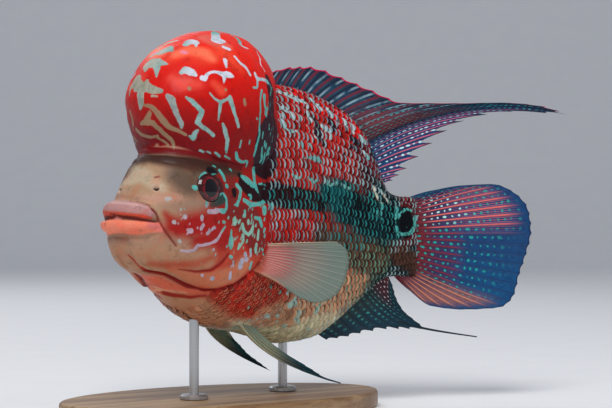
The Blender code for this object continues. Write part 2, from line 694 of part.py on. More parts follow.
# The fins.
def filament(owner, places):
    """Joins a soft filament to a fin, tapered toward its tip."""
    radii = np.linspace(FILAMENT_ROOT, FILAMENT_TIP, len(places))
    combine(owner, "UNION", roll(owner.name + "_filament", places, radii, tools))


dorsal_fin = fin("dorsal_fin", upright(DORSAL_RAYS), 27, 8, SPINE_ROOT, SPINY_NOTCH)
cut(dorsal_fin, clear_body, clear_hump)
anal_fin = fin("anal_fin", upright(ANAL_RAYS), 17, 7, SPINE_ROOT, SPINY_NOTCH)
filament(anal_fin, ANAL_FILAMENT)
cut(anal_fin, clear_body)
caudal_fin = fin("caudal_fin", upright(CAUDAL_RAYS), 25, 9, RAY_ROOT, SOFT_NOTCH)
cut(caudal_fin, clear_body)
left_rays = mirrored(PECTORAL_RAYS)
left_pectoral = fin("pectoral_fin_left", left_rays, 14, 8, RAY_ROOT, SOFT_NOTCH, PECTORAL_LOBE)
right_pectoral = fin("pectoral_fin_right", PECTORAL_RAYS, 14, 8, RAY_ROOT, SOFT_NOTCH, PECTORAL_LOBE)
left_rays = mirrored(LEFT_PELVIC_RAYS)
left_pelvic = fin("pelvic_fin_left", left_rays, 6, 8, RAY_ROOT, PELVIC_NOTCH, PELVIC_LOBE)
filament(left_pelvic, mirrored([LEFT_PELVIC_FILAMENT])[0])
right_pelvic = fin("pelvic_fin_right", RIGHT_PELVIC_RAYS, 6, 8, RAY_ROOT, PELVIC_NOTCH, PELVIC_LOBE)
paired_fins = [left_pectoral, right_pectoral, left_pelvic, right_pelvic]
for paired in paired_fins:
    cut(paired, clear_body)

for flesh in (head, trunk, tail_stalk, *gill_covers):
    finish(flesh, SKIN)
finish(nuchal_hump, RED)
finish(upper_lip, LIP)
finish(lower_lip, LIP)
for eye in eyes:
    finish(eye, EYE)
for sheet in (dorsal_fin, anal_fin, caudal_fin, left_pelvic, right_pelvic):
    finish(sheet, FIN)
for sheet in (left_pectoral, right_pectoral):
    finish(sheet, PALE_FIN)

# The stand: an oval base and two rods that end in the fish's underside.
finish(clear_body, SKIN)
bpy.ops.mesh.primitive_cylinder_add(vertices=BASE_SIDES, radius=1.0, depth=1.0)
stand_base = bpy.context.object
stand_base.name = "stand_base"
for owner in list(stand_base.users_collection):
    owner.objects.unlink(stand_base)
model.objects.link(stand_base)
shape = Matrix.Diagonal((BASE_LENGTH / 2, BASE_WIDTH / 2, BASE_THICKNESS, 1.0))
stand_base.data.transform(Matrix.Translation((0, 0, BASE_THICKNESS / 2)) @ shape)
edge = stand_base.modifiers.new("rounded_edge", "BEVEL")
edge.width = BASE_EDGE_ROUND
edge.segments = 3
edge.limit_method = "ANGLE"
edge.angle_limit = math.radians(40)
baked(stand_base)
finish(stand_base, WOOD, place=False)


def rod(name, s):
    """A turned rod with a low round foot, under the middle of the fish at s."""
    foot = BASE_THICKNESS + GAP
    x, y, top = posed([(s, 0.0, ROD_TOP)])[0]
    profile = [
        (0, top),
        (ROD_RADIUS, top),
        (ROD_RADIUS, foot + ROD_FOOT_HEIGHT),
        (ROD_FOOT_RADIUS - ROD_FOOT_CHAMFER, foot + ROD_FOOT_HEIGHT),
        (ROD_FOOT_RADIUS, foot + ROD_FOOT_HEIGHT - ROD_FOOT_CHAMFER),
        (ROD_FOOT_RADIUS, foot),
        (0, foot),
    ]
    mesh = bpy.data.meshes.new(name)
    edges = [(k, k + 1) for k in range(len(profile) - 1)]
    mesh.from_pydata([(r, 0, z) for r, z in profile], edges, [])
    turned = new_object(name, mesh, model)
    turned.location = (x, y, 0)
    screw = turned.modifiers.new("turn", "SCREW")
    screw.steps = ROD_SIDES
    screw.render_steps = ROD_SIDES
    screw.use_merge_vertices = True
    screw.merge_threshold = 0.00001
    screw.use_smooth_shade = True
    bpy.context.view_layer.update()
    baked(turned)
    turned.data.transform(Matrix.Translation((x, y, 0)))
    turned.location = (0, 0, 0)
    bpy.context.view_layer.update()
    cut(turned, clear_body)
    finish(turned, STEEL, place=False)
    return turned


rod("stand_rod_front", FRONT_ROD_S)
rod("stand_rod_rear", REAR_ROD_S)
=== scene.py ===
import math

import bmesh
import bpy
import numpy as np
from mathutils import Matrix, Vector, noise
from mathutils.bvhtree import BVHTree


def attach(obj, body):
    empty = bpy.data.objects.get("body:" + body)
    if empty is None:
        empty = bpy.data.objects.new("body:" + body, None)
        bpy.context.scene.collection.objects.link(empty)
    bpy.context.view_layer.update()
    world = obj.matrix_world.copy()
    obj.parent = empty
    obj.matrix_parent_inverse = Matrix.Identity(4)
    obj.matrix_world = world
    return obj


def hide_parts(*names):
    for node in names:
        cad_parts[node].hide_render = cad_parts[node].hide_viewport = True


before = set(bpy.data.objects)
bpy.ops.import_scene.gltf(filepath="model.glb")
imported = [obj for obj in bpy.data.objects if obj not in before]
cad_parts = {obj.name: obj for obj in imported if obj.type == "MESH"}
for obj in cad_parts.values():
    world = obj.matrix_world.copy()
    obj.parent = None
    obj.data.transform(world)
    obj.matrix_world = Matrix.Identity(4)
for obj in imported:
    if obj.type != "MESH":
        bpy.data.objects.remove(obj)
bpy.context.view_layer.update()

# The pose. The fish is shaped straight, with s running tailward from its lips, y to its right and z up
# from the axis of the tail stalk. Each piece is then bent along the spine, head and tail to the left.
HEAD_TURN = math.radians(18)
TAIL_TURN = math.radians(-22)
FIN_TURN = math.radians(-28)
NECK_S = 0.055
TAIL_ROOT_S = 0.190
FIN_TURN_LENGTH = 0.080
STAND_S = 0.092
STAND_SHIFT_Y = -0.004
AXIS_HEIGHT = 0.081

SPINE_S = np.linspace(-0.02, 0.34, 3601)


def spine_turn(s):
    """The spine's heading at s: one smooth turn from neck to tail root, then a slow one along the fin."""
    t = np.clip((s - NECK_S) / (TAIL_ROOT_S - NECK_S), 0, 1)
    body = HEAD_TURN + (TAIL_TURN - HEAD_TURN) * t * t * (3 - 2 * t)
    past = np.clip((s - TAIL_ROOT_S) / FIN_TURN_LENGTH, 0, 1.5)
    return body + (FIN_TURN - TAIL_TURN) * past


SPINE_TURN = spine_turn(SPINE_S)
spine_steps = np.diff(SPINE_S)
mean_turn = (SPINE_TURN[1:] + SPINE_TURN[:-1]) / 2
SPINE_X = np.concatenate([[0], np.cumsum(np.cos(mean_turn) * spine_steps)])
SPINE_Y = np.concatenate([[0], np.cumsum(np.sin(mean_turn) * spine_steps)])
SPINE_X -= np.interp(STAND_S, SPINE_S, SPINE_X)
SPINE_Y -= np.interp(STAND_S, SPINE_S, SPINE_Y) - STAND_SHIFT_Y


def posed(points):
    """Straight-fish points carried to the bent spine, above the middle of the stand."""
    s, y, z = np.asarray(points, float).T
    turn = np.interp(s, SPINE_S, SPINE_TURN)
    x0 = np.interp(s, SPINE_S, SPINE_X)
    y0 = np.interp(s, SPINE_S, SPINE_Y)
    return np.stack([x0 - np.sin(turn) * y, y0 + np.cos(turn) * y, z + AXIS_HEIGHT], axis=1)


# The camera stands level with the fish's back, 0.9 m from its lips and 40 degrees round to its left.
# Its lens and place put the tip of the lips where the photograph has it.
PHOTO_WIDTH = 612
PHOTO_HEIGHT = 408
FOCAL_PIXELS = 2110
LIPS_PIXEL = (105, 217)
LIPS_HEIGHT = 0.010
CAMERA_DISTANCE = 0.90
CAMERA_AZIMUTH = math.radians(-40)
SENSOR_WIDTH = 36

camera_back = np.array([math.sin(CAMERA_AZIMUTH), -math.cos(CAMERA_AZIMUTH), 0.0])
camera_right = np.array([math.cos(CAMERA_AZIMUTH), math.sin(CAMERA_AZIMUTH), 0.0])
camera_up = np.array([0.0, 0.0, 1.0])
PIXEL = CAMERA_DISTANCE / FOCAL_PIXELS
camera_place = posed([(0, 0, LIPS_HEIGHT)])[0] + camera_back * CAMERA_DISTANCE
camera_place -= camera_right * (LIPS_PIXEL[0] - PHOTO_WIDTH / 2) * PIXEL
camera_place -= camera_up * (PHOTO_HEIGHT / 2 - LIPS_PIXEL[1]) * PIXEL

camera = bpy.data.objects.new("camera", bpy.data.cameras.new("camera"))
bpy.context.scene.collection.objects.link(camera)
camera.data.sensor_width = SENSOR_WIDTH
camera.data.lens = FOCAL_PIXELS / PHOTO_WIDTH * SENSOR_WIDTH
camera.data.clip_start = 0.05
camera.data.clip_end = 20
camera.matrix_world = Matrix(
    [
        [camera_right[0], camera_up[0], camera_back[0], camera_place[0]],
        [camera_right[1], camera_up[1], camera_back[1], camera_place[1]],
        [camera_right[2], camera_up[2], camera_back[2], camera_place[2]],
        [0, 0, 0, 1],
    ]
)
bpy.context.scene.camera = camera

# The skin: one soft, wet hide over head, hump, lips, trunk and tail stalk, drawn from the same
# sections as the solids, welded together and then worked over for folds, lids, nostrils and gill covers.
BODY = (
    (0.0110, 0.0142, -0.0010, 0.0062, 0.0050, 2.2, 2.2),
    (0.0130, 0.0152, -0.0055, 0.0085, 0.0045, 2.2, 2.2),
    (0.0160, 0.0175, -0.0092, 0.0108, 0.0042, 2.1, 2.2),
    (0.0200, 0.0216, -0.0120, 0.0134, 0.0042, 2.1, 2.2),
    (0.0240, 0.0262, -0.0138, 0.0157, 0.0046, 2.1, 2.2),
    (0.0290, 0.0322, -0.0156, 0.0180, 0.0050, 2.1, 2.2),
    (0.0350, 0.0392, -0.0184, 0.0204, 0.0056, 2.1, 2.2),
    (0.0440, 0.0462, -0.0244, 0.0230, 0.0056, 2.1, 2.2),
    (0.0550, 0.0520, -0.0312, 0.0254, 0.0052, 2.1, 2.2),
    (0.0650, 0.0565, -0.0370, 0.0268, 0.0050, 2.2, 2.2),
    (0.0800, 0.0625, -0.0415, 0.0282, 0.0052, 2.1, 2.2),
    (0.0950, 0.0688, -0.0438, 0.0286, 0.0056, 2.0, 2.2),
    (0.1100, 0.0720, -0.0474, 0.0278, 0.0058, 1.9, 2.1),
    (0.1220, 0.0722, -0.0502, 0.0262, 0.0056, 1.9, 2.0),
    (0.1320, 0.0708, -0.0498, 0.0242, 0.0050, 1.9, 1.9),
    (0.1430, 0.0680, -0.0478, 0.0215, 0.0045, 1.9, 1.9),
    (0.1540, 0.0632, -0.0415, 0.0182, 0.0036, 1.9, 1.9),
    (0.1630, 0.0576, -0.0342, 0.0152, 0.0026, 1.9, 1.9),
    (0.1700, 0.0500, -0.0285, 0.0130, 0.0016, 1.9, 1.9),
    (0.1750, 0.0398, -0.0242, 0.0114, 0.0008, 1.9, 1.9),
    (0.1790, 0.0284, -0.0213, 0.0102, 0.0000, 2.0, 2.0),
    (0.1830, 0.0213, -0.0197, 0.0091, 0.0000, 2.1, 2.1),
    (0.1890, 0.0192, -0.0195, 0.0072, 0.0000, 2.2, 2.2),
    (0.1940, 0.0190, -0.0200, 0.0048, 0.0000, 2.2, 2.2),
    (0.1975, 0.0180, -0.0202, 0.0022, 0.0000, 2.2, 2.2),
)
RING_STEP = 0.0015
RING_POINTS = 120
HUMP_CENTRE = (0.0720, 0.0, 0.0620)
HUMP_LENGTH = 0.0408
HUMP_HALF_WIDTH = 0.0306
HUMP_RISE = 0.0326
HUMP_DROP = 0.0430
HUMP_SQUARENESS = 2.7
HUMP_LEAN_UP = 0.0065
HUMP_LEAN_DOWN = 0.0095
HUMP_SEGMENTS = 120
HUMP_RINGS = 80
MOUTH_HEIGHT = 0.0128
MOUTH_SLOPE = -0.20
MOUTH_CORNER_S = 0.0200
MOUTH_HALF_WIDTH = 0.0110
LIPS = ((0.0118, 0.0036, 1), (0.0106, 0.0042, -1))
LIP_END_SHARE = 0.62
LIP_TURN = math.radians(118)
LIP_OFFSET = 0.86
LIP_STEPS = 49
SKIN_VOXEL = 0.00064
SKIN_SMOOTHING = 6
COAT_DEPTH = 0.0007


def between(keys, values, at):
    """A smooth curve through the values that never swings past them (monotone cubic)."""
    keys = np.asarray(keys, float)
    values = np.asarray(values, float)
    at = np.clip(np.asarray(at, float), keys[0], keys[-1])
    step = np.diff(keys)
    slope = np.diff(values) / step
    tangent = np.zeros_like(values)
    same_way = slope[:-1] * slope[1:] > 0
    near = 2 * step[1:] + step[:-1]
    far = step[1:] + 2 * step[:-1]
    before = np.where(same_way, slope[:-1], 1.0)
    after = np.where(same_way, slope[1:], 1.0)
    tangent[1:-1] = np.where(same_way, (near + far) / (near / before + far / after), 0.0)
    tangent[0] = slope[0]
    tangent[-1] = slope[-1]
    i = np.clip(np.searchsorted(keys, at, side="right") - 1, 0, len(step) - 1)
    t = (at - keys[i]) / step[i]
    start = values[i] * (1 + 2 * t) * (1 - t) ** 2 + values[i + 1] * t * t * (3 - 2 * t)
    return start + step[i] * (tangent[i] * t * (1 - t) ** 2 - tangent[i + 1] * t * t * (1 - t))


def body_at(s):
    """Top, bottom, half width, widest height and the two squarenesses of the body at s."""
    table = np.array(BODY)
    return [between(table[:, 0], table[:, k], s) for k in range(1, 7)]


def section(s, angle):
    """Points of the body's section at s; the angle runs round it from the back, to the left first."""
    top, bottom, half, widest, square_up, square_down = body_at(s)
    across = -np.sin(angle)
    up = np.cos(angle)
    power = np.where(up > 0, 2 / square_up, 2 / square_down)
    reach = np.where(up > 0, top - widest, widest - bottom)
    y = half * np.sign(across) * np.abs(across) ** power
    z = widest + reach * np.sign(up) * np.abs(up) ** power
    return np.stack([s + 0 * angle, y, z], axis=-1)


def flank_at(s, z):
    """How far the body's surface is from its middle at s and z, and 0 above or below it."""
    top, bottom, half, widest, square_up, square_down = body_at(s)
    above = z > widest
    reach = np.where(above, top - widest, widest - bottom)
    power = np.where(above, square_up, square_down)
    share = np.clip(1 - np.clip(np.abs(z - widest) / reach, 0, 1) ** power, 0, 1)
    return half * share ** (1 / power)


def mesh_of(name, points, faces):
    """A mesh with its faces turned outward."""
    mesh = bpy.data.meshes.new(name)
    mesh.from_pydata([tuple(p) for p in points], [], faces)
    work = bmesh.new()
    work.from_mesh(mesh)
    bmesh.ops.recalc_face_normals(work, faces=work.faces)
    work.to_mesh(mesh)
    work.free()
    return mesh


def new_piece(name, mesh):
    """A mesh as a piece of the scene."""
    piece = bpy.data.objects.new(name, mesh)
    bpy.context.scene.collection.objects.link(piece)
    return piece


def loft_faces(rings, sides):
    """The faces of a closed form made of rings of points, with an end face on its first and last ring."""
    faces = [list(range(sides)), list(range((rings - 1) * sides, rings * sides))]
    for ring in range(rings - 1):
        for k in range(sides):
            after = (k + 1) % sides
            here, beyond = ring * sides, (ring + 1) * sides
            faces.append([here + k, here + after, beyond + after, beyond + k])
    return faces


def tube(places, radii, sides=16):
    """Points and faces of a round roll along a line, closed at both ends."""
    places = np.asarray(places, float)
    along = np.gradient(places, axis=0)
    along /= np.linalg.norm(along, axis=1, keepdims=True)
    over = np.cross(along, (0.0, 0.0, 1.0))
    over /= np.linalg.norm(over, axis=1, keepdims=True)
    lift = np.cross(over, along)
    angle = np.linspace(0, 2 * math.pi, sides, endpoint=False)
    ring = np.cos(angle)[None, :, None] * over[:, None] + np.sin(angle)[None, :, None] * lift[:, None]
    points = (places[:, None] + ring * np.asarray(radii)[:, None, None]).reshape(-1, 3)
    return points, loft_faces(len(places), sides)


def body_form():
    """The body lofted through its sections."""
    rings = round((BODY[-1][0] - BODY[0][0]) / RING_STEP)
    angle = np.linspace(0, 2 * math.pi, RING_POINTS, endpoint=False)
    points = np.concatenate([section(s, angle) for s in np.linspace(BODY[0][0], BODY[-1][0], rings)])
    return points, loft_faces(rings, RING_POINTS)


def ball(segments, rings):
    """Points and faces of a ball of radius 1."""
    work = bmesh.new()
    bmesh.ops.create_uvsphere(work, u_segments=segments, v_segments=rings, radius=1.0)
    points = np.array([v.co for v in work.verts])
    faces = [[v.index for v in f.verts] for f in work.faces]
    work.free()
    return points, faces


def hump_form():
    """The ball of the hump, squarer below, where it hangs over the brow."""
    points, faces = ball(HUMP_SEGMENTS, HUMP_RINGS)
    x, y, z = points.T
    flat = np.maximum(np.hypot(x, y), 1e-9)
    fuller = (1 - np.clip(-z, 0, 1) ** HUMP_SQUARENESS) ** (1 / HUMP_SQUARENESS)
    swell = np.where(z < 0, fuller / flat, 1.0)
    height = np.where(z > 0, z * HUMP_RISE, z * HUMP_DROP)
    lean = np.where(z > 0, z * HUMP_LEAN_UP, -z * HUMP_LEAN_DOWN)
    place = np.stack([x * swell * HUMP_LENGTH + lean, y * swell * HUMP_HALF_WIDTH, height], axis=1)
    return place + HUMP_CENTRE, faces


def lip_form(front, radius, side):
    """One lip: a roll round the mouth, thickest in front."""
    angle = np.linspace(-LIP_TURN, LIP_TURN, LIP_STEPS)
    s = MOUTH_CORNER_S - (MOUTH_CORNER_S - front) * np.cos(angle)
    share = LIP_END_SHARE + (1 - LIP_END_SHARE) * np.cos(angle)
    y = MOUTH_HALF_WIDTH * np.sin(angle)
    z = MOUTH_HEIGHT + MOUTH_SLOPE * s + side * LIP_OFFSET * radius * share
    return tube(np.stack([s, y, z], axis=1), radius * share)


def settled(piece):
    """Applies a piece's modifiers to its mesh."""
    graph = bpy.context.evaluated_depsgraph_get()
    piece.data = bpy.data.meshes.new_from_object(piece.evaluated_get(graph))
    piece.modifiers.clear()


def welded(name, forms, voxel):
    """Overlapping closed forms made into one even-grained mesh."""
    points = []
    faces = []
    for form_points, form_faces in forms:
        faces += [[k + len(points) for k in face] for face in form_faces]
        points += list(form_points)
    piece = new_piece(name, mesh_of(name, points, faces))
    weld = piece.modifiers.new("weld", "REMESH")
    weld.mode = "VOXEL"
    weld.voxel_size = voxel
    even = piece.modifiers.new("even", "SMOOTH")
    even.factor = 0.5
    even.iterations = SKIN_SMOOTHING
    settled(piece)
    return piece


def places_of(mesh, what="co"):
    """The places, or with what="normal" the outward directions, of a mesh's points."""
    found = np.empty(len(mesh.vertices) * 3, np.float32)
    mesh.vertices.foreach_get(what, found)
    return found.reshape(-1, 3).astype(float)


def soft(value, low, high):
    """0 below low, 1 above high and smooth between; low may be the larger."""
    t = np.clip((value - low) / (high - low), 0, 1)
    return t * t * (3 - 2 * t)


skin = welded("fish_skin", [body_form(), hump_form()] + [lip_form(*lip) for lip in LIPS], SKIN_VOXEL)


def off_body(points):
    """How far a point lies outside the body's own sections, sideways or upward: more than 0 on the hump."""
    s, y, z = points.T
    return np.maximum(z - body_at(s)[0], np.abs(y) - flank_at(s, z))


# Where scales cover it, the skin is thinned to a coarser grain.
SCALED_FROM = 0.088
COVERED_SHARE = 0.90
COVERED_WITHIN = 0.0008

grain = places_of(skin.data)
covered = (grain[:, 0] > SCALED_FROM) & (off_body(grain) < COVERED_WITHIN)
group = skin.vertex_groups.new(name="covered")
group.add([int(k) for k in np.flatnonzero(covered)], 1.0, "REPLACE")
thin = skin.modifiers.new("thin", "DECIMATE")
thin.ratio = 1 - COVERED_SHARE * covered.mean()
thin.vertex_group = "covered"
settled(skin)

straight = places_of(skin.data)
skin_faces = [list(p.vertices) for p in skin.data.polygons]
world = posed(straight)
sight = BVHTree.FromPolygons([tuple(p) for p in world], skin_faces)


def seen_at(x, y):
    """The place on the straight skin that shows at a pixel of the photograph's frame, if there is one."""
    ray = camera_right * (x - PHOTO_WIDTH / 2) + camera_up * (PHOTO_HEIGHT / 2 - y)
    ray = Vector(ray - camera_back * FOCAL_PIXELS).normalized()
    hit, _, index, _ = sight.ray_cast(Vector(camera_place), ray)
    if hit is None:
        return None
    near = min(skin_faces[index], key=lambda k: (Vector(world[k]) - hit).length)
    turn = spine_turn(straight[near, 0])
    dx, dy, dz = np.array(hit) - world[near]
    along = math.cos(turn) * dx + math.sin(turn) * dy
    aside = math.cos(turn) * dy - math.sin(turn) * dx
    return straight[near] + (along, aside, dz)


# How lines read off the photograph are laid on the skin: the step between their places in pixels, and how
# far from the fish's middle each kind is repeated on its right side.
LINE_STEP = 2.5
MOST_STRETCH = 3.0
FAR = 0.012
MARKS_RIGHT_FROM = 0.012
LINES_RIGHT_FROM = 0.008
FIELDS_RIGHT_FROM = 0.001
RIGHT_MARGIN = 0.004
RIGHT_NARROWNESS = 0.5


def laid(mark):
    """A mark's knots, each x, y and half width in pixels, laid on the skin as a close line in metres."""
    knots = np.array(mark + mark[-1:], float)
    run = np.concatenate([[0], np.cumsum(np.hypot(*np.diff(knots[:, :2], axis=0).T) + 1e-6)])
    at = np.linspace(0, run[-1], max(2, math.ceil(run[-1] / LINE_STEP) + 1))
    x, y, width = [np.interp(at, run, knots[:, k]) for k in range(3)]
    dx, dy = np.gradient(x), np.gradient(y)
    size = np.maximum(np.hypot(dx, dy), 1e-6)
    found = []
    for px, py, w, across, down in zip(x, y, width, -dy / size * width, dx / size * width):
        place = seen_at(px, py)
        one = seen_at(px + across, py + down)
        other = seen_at(px - across, py - down)
        half = w * PIXEL
        if one is not None and other is not None and np.linalg.norm(one - other) < 2 * half * MOST_STRETCH:
            half = np.linalg.norm(one - other) / 2
        if place is not None:
            found.append((*place, half))
    return np.array(found).reshape(-1, 4)


def depth_in(points, lines, aside=1.0):
    """How deep each point lies within the laid lines, down to -FAR outside them."""
    depth = np.full(len(points), -FAR)
    stretch = np.array((1.0, aside, 1.0))
    for line in lines:
        if not len(line):
            continue
        places = line[:, :3] * stretch
        reach = FAR + line[:, 3].max()
        stretched = points * stretch
        close = np.all((stretched > places.min(0) - reach) & (stretched < places.max(0) + reach), axis=1)
        close = np.flatnonzero(close)
        here = points[close] * stretch
        best = depth[close]
        ends = np.minimum(np.arange(len(line)) + 1, len(line) - 1)
        for k, m in enumerate(ends):
            span = places[m] - places[k]
            t = np.clip((here - places[k]) @ span / max(span @ span, 1e-12), 0, 1)
            gap = np.linalg.norm(here - places[k] - t[:, None] * span, axis=1)
            best = np.maximum(best, line[k, 3] + (line[m, 3] - line[k, 3]) * t - gap)
        depth[close] = best
    return depth


def both_sides(points, lines, shift=(0.0, 0.0, 0.0), right_from=FIELDS_RIGHT_FROM):
    """depth_in for the lines and for their likeness on the fish's right side, from right_from outward."""
    depth = depth_in(points, lines)
    right = points[:, 1] > right_from - RIGHT_MARGIN
    likeness = []
    for line in lines:
        across = line * (1, -1, 1, 1) + (*shift, 0.0)
        likeness.append(across[across[:, 1] > right_from])
    depth[right] = np.maximum(depth[right], depth_in(points[right], likeness, RIGHT_NARROWNESS))
    return depth


# Folds and edges of the face and throat: grooves read off the photograph as x, y and half width in pixels,
# with their depths, and the gill covers' rear edge, which stands proud of the flank.
GROOVES = (
    (((110, 217, 1), (118, 218, 1.6), (135, 219, 1.7), (158, 221, 1.3)), 0.0015),
    (((150, 207, 0.6), (156, 214, 0.8), (160, 222, 1), (165, 231, 1.2), (170, 238, 1.2), (176, 246, 0.7)), 0.0007),
    (((178, 269, 0.7), (196, 271, 1.2), (211, 270, 1.4), (221, 263, 1.4), (228, 254, 0.9)), 0.0006),
    (((143, 191, 0.7), (151, 193, 1), (158, 190, 1), (165, 190, 1), (175, 192, 0.9), (186, 195, 0.7)), 0.0004),
    (((127, 255, 0.8), (134, 261, 1.3), (143, 268, 1.3)), 0.0007),
    (((137, 278, 1), (148, 287, 1.6), (165, 293, 1.6), (187, 296, 1.4), (210, 294, 0.9)), 0.0006),
    (((143, 271, 1.2), (164, 275, 1.6), (187, 286, 1.6), (199, 291, 1)), 0.0006),
    (((150, 279, 0.8), (165, 283, 1.4), (182, 289, 0.8)), 0.0005),
    (((134, 153, 1.2), (165, 154, 1.5), (196, 158, 1.3), (226, 167, 1)), 0.0006),
    (((165, 162, 0.8), (182, 165, 1.2), (196, 172, 0.8)), 0.0003),
    (((108, 199, 1), (122, 198, 1.4), (140, 199, 1.4), (152, 203, 1)), 0.0006),
    (((107, 237, 1), (122, 238, 1.5), (142, 239, 1.5), (158, 234, 1)), 0.0007),
    (((156, 292, 0.8), (170, 296, 1.4), (186, 299, 1.4), (200, 298, 0.8)), 0.0005),
    (((240, 120, 1), (246, 140, 1.6), (248, 158, 1)), 0.0003),
)
MOUTH_GROOVE = 0
THROAT_GROOVE = 4
GROOVE_SOFTNESS = 1.3
GILL_EDGE = (
    (133, 268, 0), (143, 269, 0), (164, 273, 0), (187, 284, 0), (199, 289, 0), (216, 289, 0), (233, 284, 0),
    (244, 277, 0), (253, 269, 0), (262, 255, 0), (267, 240, 0), (271, 222, 0), (270, 206, 0), (262, 198, 0),
)
GILL_PROUD = 0.0013
GILL_LIP = 0.0010
GILL_FADE = 0.0160
GILL_END_S = 0.084
GILL_FROM_MIDDLE = 0.004
GILL_SLIT_DEPTH = 0.0004
GILL_SLIT_BEHIND = 0.0006
GILL_SLIT_WIDTH = 0.0008

shape = straight.copy()
outward = places_of(skin.data, "normal")
rise = np.zeros(len(shape))
for number, (mark, deep) in enumerate(GROOVES):
    line = laid(mark)
    half = line[:, 3].mean()
    right_from = FIELDS_RIGHT_FROM if number == MOUTH_GROOVE else LINES_RIGHT_FROM
    depth = both_sides(shape, [line], right_from=right_from)
    rise -= deep * np.exp(-np.clip((depth - half) / (half * GROOVE_SOFTNESS), -4, 0) ** 2)

gill_line = laid(GILL_EDGE)


def ahead_of(points, line):
    """How far each point lies ahead of a line that runs up and back; behind it the distance is below 0."""
    flat = np.stack([points[:, 0], points[:, 2]], axis=1)
    best = np.full(len(points), FAR * 4)
    sign = np.ones(len(points))
    for a, b in zip(line[:-1], line[1:]):
        start = a[[0, 2]]
        span = b[[0, 2]] - start
        t = np.clip((flat - start) @ span / (span @ span), 0, 1)
        away = flat - start - t[:, None] * span
        gap = np.linalg.norm(away, axis=1)
        nearer = gap < best
        best = np.where(nearer, gap, best)
        side = span[0] * away[:, 1] - span[1] * away[:, 0]
        sign = np.where(nearer, np.where(side > 0, 1.0, -1.0), sign)
    return best * sign


ahead = ahead_of(shape, gill_line)
on_flank = (np.abs(shape[:, 1]) > GILL_FROM_MIDDLE) & (shape[:, 0] < GILL_END_S)
before_edge = np.clip(ahead, 0, 1)
lifted = GILL_PROUD * (1 - np.exp(-before_edge / GILL_LIP)) * np.exp(-before_edge / GILL_FADE)
rise += np.where(on_flank & (ahead > 0), lifted, 0)
slit = GILL_SLIT_DEPTH * np.exp(-((ahead + GILL_SLIT_BEHIND) / GILL_SLIT_WIDTH) ** 2)
rise -= np.where(on_flank, slit, 0)

# The nostrils, each a small hole with a raised rim, and the lids, a soft roll of skin round each eye. Both are
# pressed in the same skin.
NOSTRIL = (156, 188)
NOSTRIL_RADIUS = 0.0012
NOSTRIL_DEPTH = 0.0022
NOSTRIL_RIM = 0.0027
NOSTRIL_RIM_RISE = 0.0005
EYE_S = 0.0470
EYE_HEIGHT = 0.0220
EYE_SINK = 0.0026
EYE_RADIUS = 0.0074
EYE_DEPTH = 0.0050
EYE_FORWARD = math.radians(20)
EYE_UPWARD = math.radians(8)
LID_RADIUS = 0.0068
LID_WIDTH = 0.0011
LID_RISE = 0.0007
LID_FROM_MIDDLE = 0.006
LID_REACH = 0.03
SOCKET_DEPTH = 0.0035
SOCKET_EDGE = (0.0062, 0.0052)


def eye_set(side):
    """An eye's place on the straight fish and the way it is turned, on side -1, the left, or 1."""
    place = (EYE_S, side * (flank_at(EYE_S, EYE_HEIGHT) - EYE_SINK), EYE_HEIGHT)
    turn = Matrix.Rotation(side * EYE_FORWARD, 3, "Z") @ Matrix.Rotation(side * EYE_UPWARD, 3, "X")
    return np.array(place), turn


nostril = seen_at(*NOSTRIL)
for side in (-1, 1):
    hole = nostril * (1, -side, 1)
    gap = np.linalg.norm(shape - hole, axis=1)
    rim = NOSTRIL_RIM_RISE * np.exp(-(gap / NOSTRIL_RIM) ** 2)
    rise += rim - NOSTRIL_DEPTH * np.exp(-(gap / NOSTRIL_RADIUS) ** 2)
    eye_place, turn = eye_set(side)
    gaze = np.array(turn @ Vector((0, side, 0)))
    away = shape - eye_place
    out = away @ gaze
    gap = np.linalg.norm(away - out[:, None] * gaze, axis=1)
    on_side = (shape[:, 1] * side > LID_FROM_MIDDLE) & (gap < LID_REACH)
    lid = LID_RISE * np.exp(-((gap - LID_RADIUS) / LID_WIDTH) ** 2) - SOCKET_DEPTH * soft(gap, *SOCKET_EDGE)
    rise += np.where(on_side, lid, 0)

# The hump is a soft, slightly lumpy pad of fat under the skin, and the face is finely lumpy too. The scaled
# parts of the skin lie in by the depth of their scales.
LUMPS_PER_METRE = (95, 230)
HUMP_LUMPS = 0.00050
FACE_LUMPS = 0.00022
NO_GILL = 0.01

on_hump = soft(off_body(shape), 0.0003, 0.0018) * soft(shape[:, 2], 0.024, 0.034)
large, small = LUMPS_PER_METRE
lumps = np.array([noise.noise(Vector(p) * large) + 0.5 * noise.noise(Vector(p) * small) for p in shape])
rise += on_hump * lumps * HUMP_LUMPS
face = soft(shape[:, 0], 0.080, 0.060) * (1 - on_hump)
rise += face * lumps * FACE_LUMPS
scaled = soft(np.where(on_flank, -ahead, NO_GILL), -0.0004, 0.0012) * (1 - on_hump)
scaled = scaled * soft(shape[:, 0], 0.030, 0.060)
rise -= COAT_DEPTH * scaled
shape = shape + outward * rise[:, None]

